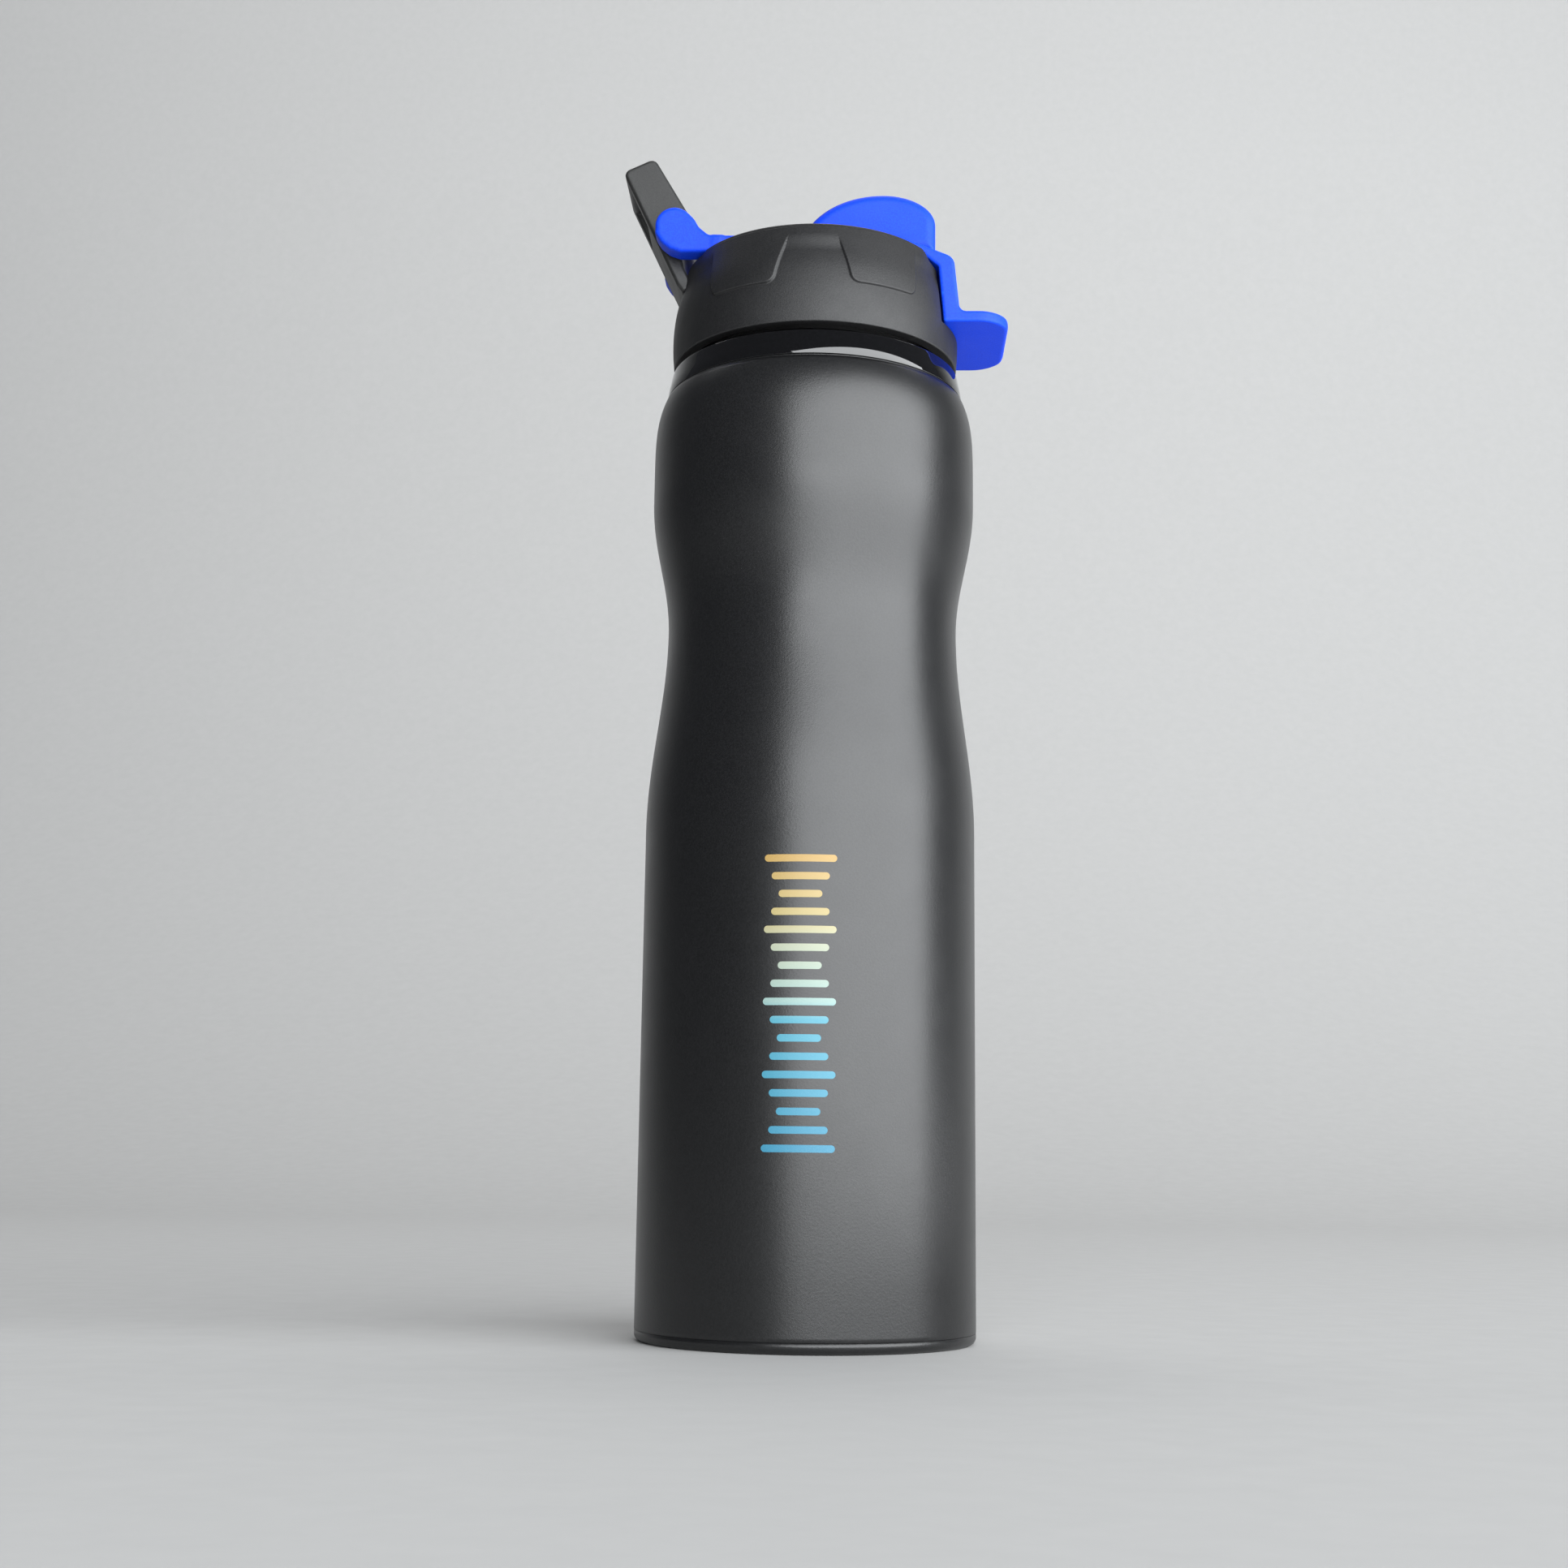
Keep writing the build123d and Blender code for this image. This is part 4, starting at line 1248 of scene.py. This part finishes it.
@dataclass
class FlipCover:
    """Cover in one piece: hooked ears, plate, dome, strap and finger tab.

    Attributes:
        hinge: the hinge axis.
        half: half width of plate, strap and tab.
        edge: rounding of the plate's edges.
        dome_half: half width of the dome.
        dome_edge: rounding of the dome's sides.
        dome_wall: thickness of the dome.
        under_z: underside of the plate.
        top_z: top of the plate.
        tab_x: tip of the finger tab.
        tab_corner: rounding of the tab's corners, seen from above.
        opening: (middle X, half length, half width) of the opening under the dome.
        opening_z: (middle, half height) of that opening.
        post: (X, radius) of the post that holds the plug.
        post_z: (middle, half height) of the post.
        net: grid of the mesh.
        lines: outlines by name, filled in by build.
    """

    hinge: Hinge
    half: float = 15.5
    edge: float = 0.75
    dome_half: float = 11.5
    dome_edge: float = 2.4
    dome_wall: float = 1.8
    under_z: float = 241.4
    top_z: float = 245.4
    tab_x: float = 44.4
    tab_corner: float = 8.0
    opening: tuple[float, float, float] = (9.9, 11.9, 9.7)
    opening_z: Point2 = (242.5, 3.0)
    post: Point2 = (13.0, 3.0)
    post_z: Point2 = (253.9, 2.7)
    net: Net = Net((-37.5, -16.2, 223.9), (45.2, 16.2, 258.4), 0.3)
    lines: dict[str, list[Point2]] = field(default_factory=dict)

    def plate_line(self) -> list[Point2]:
        """Side outline of plate, chamfer, strap and tab.

        Returns:
            (x, z) points.
        """
        back_x, tab_top, tab_under = -23.4, 227.1, 224.6
        corners = [(back_x, self.under_z), (back_x, self.top_z), (18.6, self.top_z),
                   (31.6, 240.0), (32.9, tab_top), (self.tab_x, tab_top),
                   (self.tab_x, tab_under), (29.3, tab_under), (28.1, 237.9),
                   (23.85, self.under_z)]
        return rounded(corners, [0.3, 0.3, 4.0, 2.8, 1.6, 1.1, 1.1, 0.6, 1.2, 1.2])

    def ear_line(self) -> list[Point2]:
        """Side outline of an ear's hook.

        Returns:
            (x, z) points.
        """
        hx, hz, front_x = self.hinge.x, self.hinge.z, -21.0
        corners = [(hx - 3.9, hz - 1.8), (hx - 2.8, hz - 4.1), (hx - 1.1, hz - 5.7),
                   (hx + 1.4, self.under_z), (front_x, self.under_z), (front_x, self.top_z),
                   (hx + 7.9, self.top_z + 0.2), (hx + 5.8, hz - 0.6),
                   (hx + 3.7, hz + 2.2), (hx, hz)]
        return rounded(corners, [0, 2, 2, 2, 0, 0, 2.5, 2.5, 2, 0])

    def dome_line(self, inset: float) -> list[Point2]:
        """Side outline of the dome.

        Args:
            inset: how far the outline is drawn in.

        Returns:
            (x, z) points.
        """
        peak, top, front, floor = 15.5, 257.5 - inset, 27.6 - inset, 243.9
        back, nose, sunk = 18.8 - inset, 7.4, 0.6
        line = [(peak + (front - peak) * math.cos(t), top - nose + nose * math.sin(t))
                for t in np.linspace(0, math.pi / 2, 16)]
        line += [(peak - back * math.sin(t), floor + (top - floor) * math.cos(t))
                 for t in np.linspace(0, math.pi / 2, 22)[1:]]
        return line + [(peak - back, floor - sunk), (front, floor - sunk)]

    def value(self, x: Array, y: Array, z: Array) -> Array:
        """Field of the cover.

        Args:
            x: X of the places.
            y: Y of the places.
            z: height of the places.

        Returns:
            The field, negative inside.
        """
        side = {name: polygon_distance(x, z, line)
                for name, line in self.lines.items() if name != "plan"}
        plate = prism(side["plate"], y, 0, self.half, self.edge)
        plan = polygon_distance(x, y, self.lines["plan"])
        plate = meet(plate, plan, self.edge)
        hx, hz = self.hinge.x, self.hinge.z
        lobe = np.hypot(x - hx, z - hz) - self.hinge.lobe
        ears = prism(join(side["ear"], lobe, 1.6), y, self.hinge.ear_in, self.half, 1.0)
        shape = join(plate, ears, 0.8)
        dome = prism(side["dome"], y, 0, self.dome_half, self.dome_edge)
        shape = join(shape, dome, 1.0)
        hollow = prism(side["hollow"], y, 0, self.dome_half - self.dome_wall,
                       self.dome_edge - self.dome_wall)
        middle, long, wide = self.opening
        low = np.maximum(np.maximum(np.abs(x - middle) - long, np.abs(y) - wide),
                         np.abs(z - self.opening_z[0]) - self.opening_z[1])
        shape = meet(shape, -join(hollow, low, 0.3), 0.5)
        post = np.maximum(np.hypot(x - self.post[0], y) - self.post[1],
                          np.abs(z - self.post_z[0]) - self.post_z[1])
        return join(shape, post, 0.4)

    def build(self) -> None:
        """Cover as one smooth piece."""
        h, t, far = self.half, self.tab_x, -60
        self.lines = {
            "plate": self.plate_line(),
            "ear": self.ear_line(),
            "dome": self.dome_line(0.0),
            "hollow": self.dome_line(self.dome_wall),
            "plan": rounded([(far, -h), (t, -h), (t, h), (far, h)],
                            [0, self.tab_corner, self.tab_corner, 0], 14),
        }
        cover = self.net.mesh("flip_lid", self.value)
        dress(cover, BLUE.build(), Slot.BLUE)
        seat(cover, Body.COVER, "flip_cover")


@dataclass
class Hardware:
    """CAD nodes that stay as they are and get a finish.

    Attributes:
        sharp_deg: edges that turn by more than this stay sharp.
        finishes: finish and record slot of each node.
    """

    sharp_deg: float = 32.0
    finishes: dict[str, tuple[Finish, Slot]] = field(default_factory=lambda: {
        "inner_liner": (STEEL, Slot.STEEL),
        "getter": (GETTER, Slot.GETTER),
        "seal_pellet": (STEEL, Slot.STEEL),
        "base_cover": (STEEL, Slot.STEEL),
        "thread_insert": (INNER, Slot.INNER),
        "cap_gasket": (SILICONE, Slot.SILICONE),
        "spout": (SPOUT, Slot.SPOUT),
        "spout_nut": (INNER, Slot.INNER),
        "air_vent": (SILICONE, Slot.SILICONE),
        "loop_screws": (STEEL, Slot.STEEL),
        "hinge_pin": (STEEL, Slot.STEEL),
        "spout_plug": (SILICONE, Slot.SILICONE),
    })

    def build(self) -> None:
        """Finishes and smooth shading for each node."""
        for name, (finish, slot) in self.finishes.items():
            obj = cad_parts[name]
            dress(obj, finish.build(), slot)
            obj.data.shade_smooth()
            obj.data.set_sharp_from_angle(angle=math.radians(self.sharp_deg))
            LOG.info("%s: CAD node, %s", name, finish.name)


# ---------------------------------------------------------------------------
# Studio
# ---------------------------------------------------------------------------
@dataclass
class Softbox:
    """Rectangular light aimed at the bottle.

    Attributes:
        name: light name.
        azimuth: degrees from -Y towards +X.
        height: height above the floor, metres.
        distance: distance from the axis, metres.
        size: (width, height), metres.
        power: watts.
        colour: light colour.
        aim: (x, y, z) that the light faces, metres.
    """

    name: str
    azimuth: float
    height: float
    distance: float
    size: tuple[float, float]
    power: float
    colour: Colour = (1.0, 1.0, 1.0)
    aim: tuple[float, float, float] = (0.0, 0.0, 0.14)

    def build(self) -> None:
        """The light, hidden from the camera itself."""
        data = bpy.data.lights.new(self.name, "AREA")
        data.shape = "RECTANGLE"
        data.size, data.size_y = self.size
        data.energy = self.power
        data.color = self.colour
        obj = bpy.data.objects.new(self.name, data)
        a = math.radians(self.azimuth)
        obj.location = (self.distance * math.sin(a), -self.distance * math.cos(a),
                        self.height)
        obj.visible_camera = False
        aim = Vector(self.aim) - obj.location
        obj.rotation_mode = "QUATERNION"
        obj.rotation_quaternion = aim.to_track_quat("-Z", "Y")
        bpy.context.scene.collection.objects.link(obj)


@dataclass
class Studio:
    """Floor sweep, soft lights, sky and camera.

    Attributes:
        floor: the floor's colour.
        speck: how dark its specks are against it.
        bend: radius of the sweep's curve.
        bend_y: where the curve starts behind the bottle.
        half: half width of the sweep.
        front_y: the sweep's front edge.
        top_z: the sweep's upper edge.
        sky: colour of the light from everywhere.
        sky_strength: strength of that light.
        lens: focal length for a sensor_w wide sensor.
        sensor_w: sensor width.
        eye: the camera's place.
        forward: direction that it looks.
        right: direction to its right.
        clip: (nearest, farthest) distance seen, metres.
        lights: the lights.
    """

    floor: Colour = (0.46, 0.46, 0.455)
    speck: float = 0.97
    bend: float = 1600.0
    bend_y: float = 1000.0
    half: float = 5000.0
    front_y: float = -2500.0
    top_z: float = 4500.0
    sky: Colour = (0.86, 0.9, 1.0)
    sky_strength: float = 0.1
    lens: float = 48.23
    sensor_w: float = 36.0
    eye: tuple[float, float, float] = (10.226, -463.004, 36.5)
    forward: tuple[float, float, float] = (-0.03433, 0.98316, 0.17949)
    right: tuple[float, float, float] = (0.99939, 0.03260, 0.01258)
    clip: tuple[float, float] = (0.01, 50.0)
    lights: tuple[Softbox, ...] = (
        Softbox("key_right", 38, 0.87, 2.2, (5.5, 1.8), 228, (0.955, 0.98, 1.0)),
        Softbox("floor_bounce", 41, 0.012, 0.73, (1.4, 1.0), 24, (0.955, 0.98, 1.0),
                (0.479, -0.551, 1.0)),
        Softbox("backdrop_wash", 180, 2.6, 0.9, (4.0, 0.8), 30, (1.0, 1.0, 1.0),
                (0.0, 2.6, 1.0)),
        Softbox("rear_soft", 179, 2.4, 0.9, (1.2, 1.0), 8, (1.0, 0.99, 0.97)),
    )

    def build(self) -> None:
        """Everything round the bottle."""
        self._sweep()
        for light in self.lights:
            light.build()
        world = bpy.data.worlds.new("sky")
        world.use_nodes = True
        back = world.node_tree.nodes["Background"]
        back.inputs["Color"].default_value = (*self.sky, 1)
        back.inputs["Strength"].default_value = self.sky_strength
        bpy.context.scene.world = world
        bpy.context.scene.view_settings.view_transform = "Standard"
        self._camera()

    def _sweep(self) -> None:
        """Floor that curves up into a backdrop."""
        side = [(self.front_y, 0.0), (self.bend_y, 0.0)]
        side += [(self.bend_y + self.bend * math.sin(t), self.bend - self.bend * math.cos(t))
                 for t in np.linspace(0.1, math.pi / 2, 16)]
        side.append((self.bend_y + self.bend, self.top_z))
        verts = [(x, y, z) for y, z in side for x in (-self.half, self.half)]
        sweep = mesh_object("floor_sweep", np.array(verts), grid_faces(len(side), 2, False))
        g = Graph("pale_floor")
        speck = g.noise(90, 4.0)
        darker = tuple(c * self.speck for c in self.floor)
        colour = g.blend(g.spread(speck, *CLOUD_RANGE, 0, 1), self.floor, darker)
        g.link(colour, g.shader.inputs["Base Color"])
        rough = g.spread(speck, *CLOUD_RANGE, 0.7, 0.8)
        g.link(rough, g.shader.inputs["Roughness"])
        sweep.data.materials.append(g.material)

    def _camera(self) -> None:
        """Camera near the base, looking up the bottle."""
        data = bpy.data.cameras.new("camera")
        data.lens, data.sensor_width = self.lens, self.sensor_w
        data.clip_start, data.clip_end = self.clip
        obj = bpy.data.objects.new("camera", data)
        forward = Vector(self.forward).normalized()
        right = Vector(self.right).normalized()
        up = right.cross(forward).normalized()
        turn = Matrix((right, up, -forward)).transposed()
        obj.matrix_world = Matrix.Translation(Vector(self.eye) * MM) @ turn.to_4x4()
        bpy.context.scene.collection.objects.link(obj)
        bpy.context.scene.camera = obj


def main() -> None:
    """Builds the bottle from the base up, then the studio."""
    logging.basicConfig(level=logging.INFO, format="%(name)s %(message)s")
    body = SteelBody()
    hinge = Hinge()
    pieces = (body, Collar(), InkBars(body), Cap(), CarryLoop(hinge), FlipCover(hinge),
              Hardware())
    for piece in pieces:
        LOG.info("building %s", type(piece).__name__)
        piece.build()
    Studio().build()


if __name__ == "__main__":
    main()
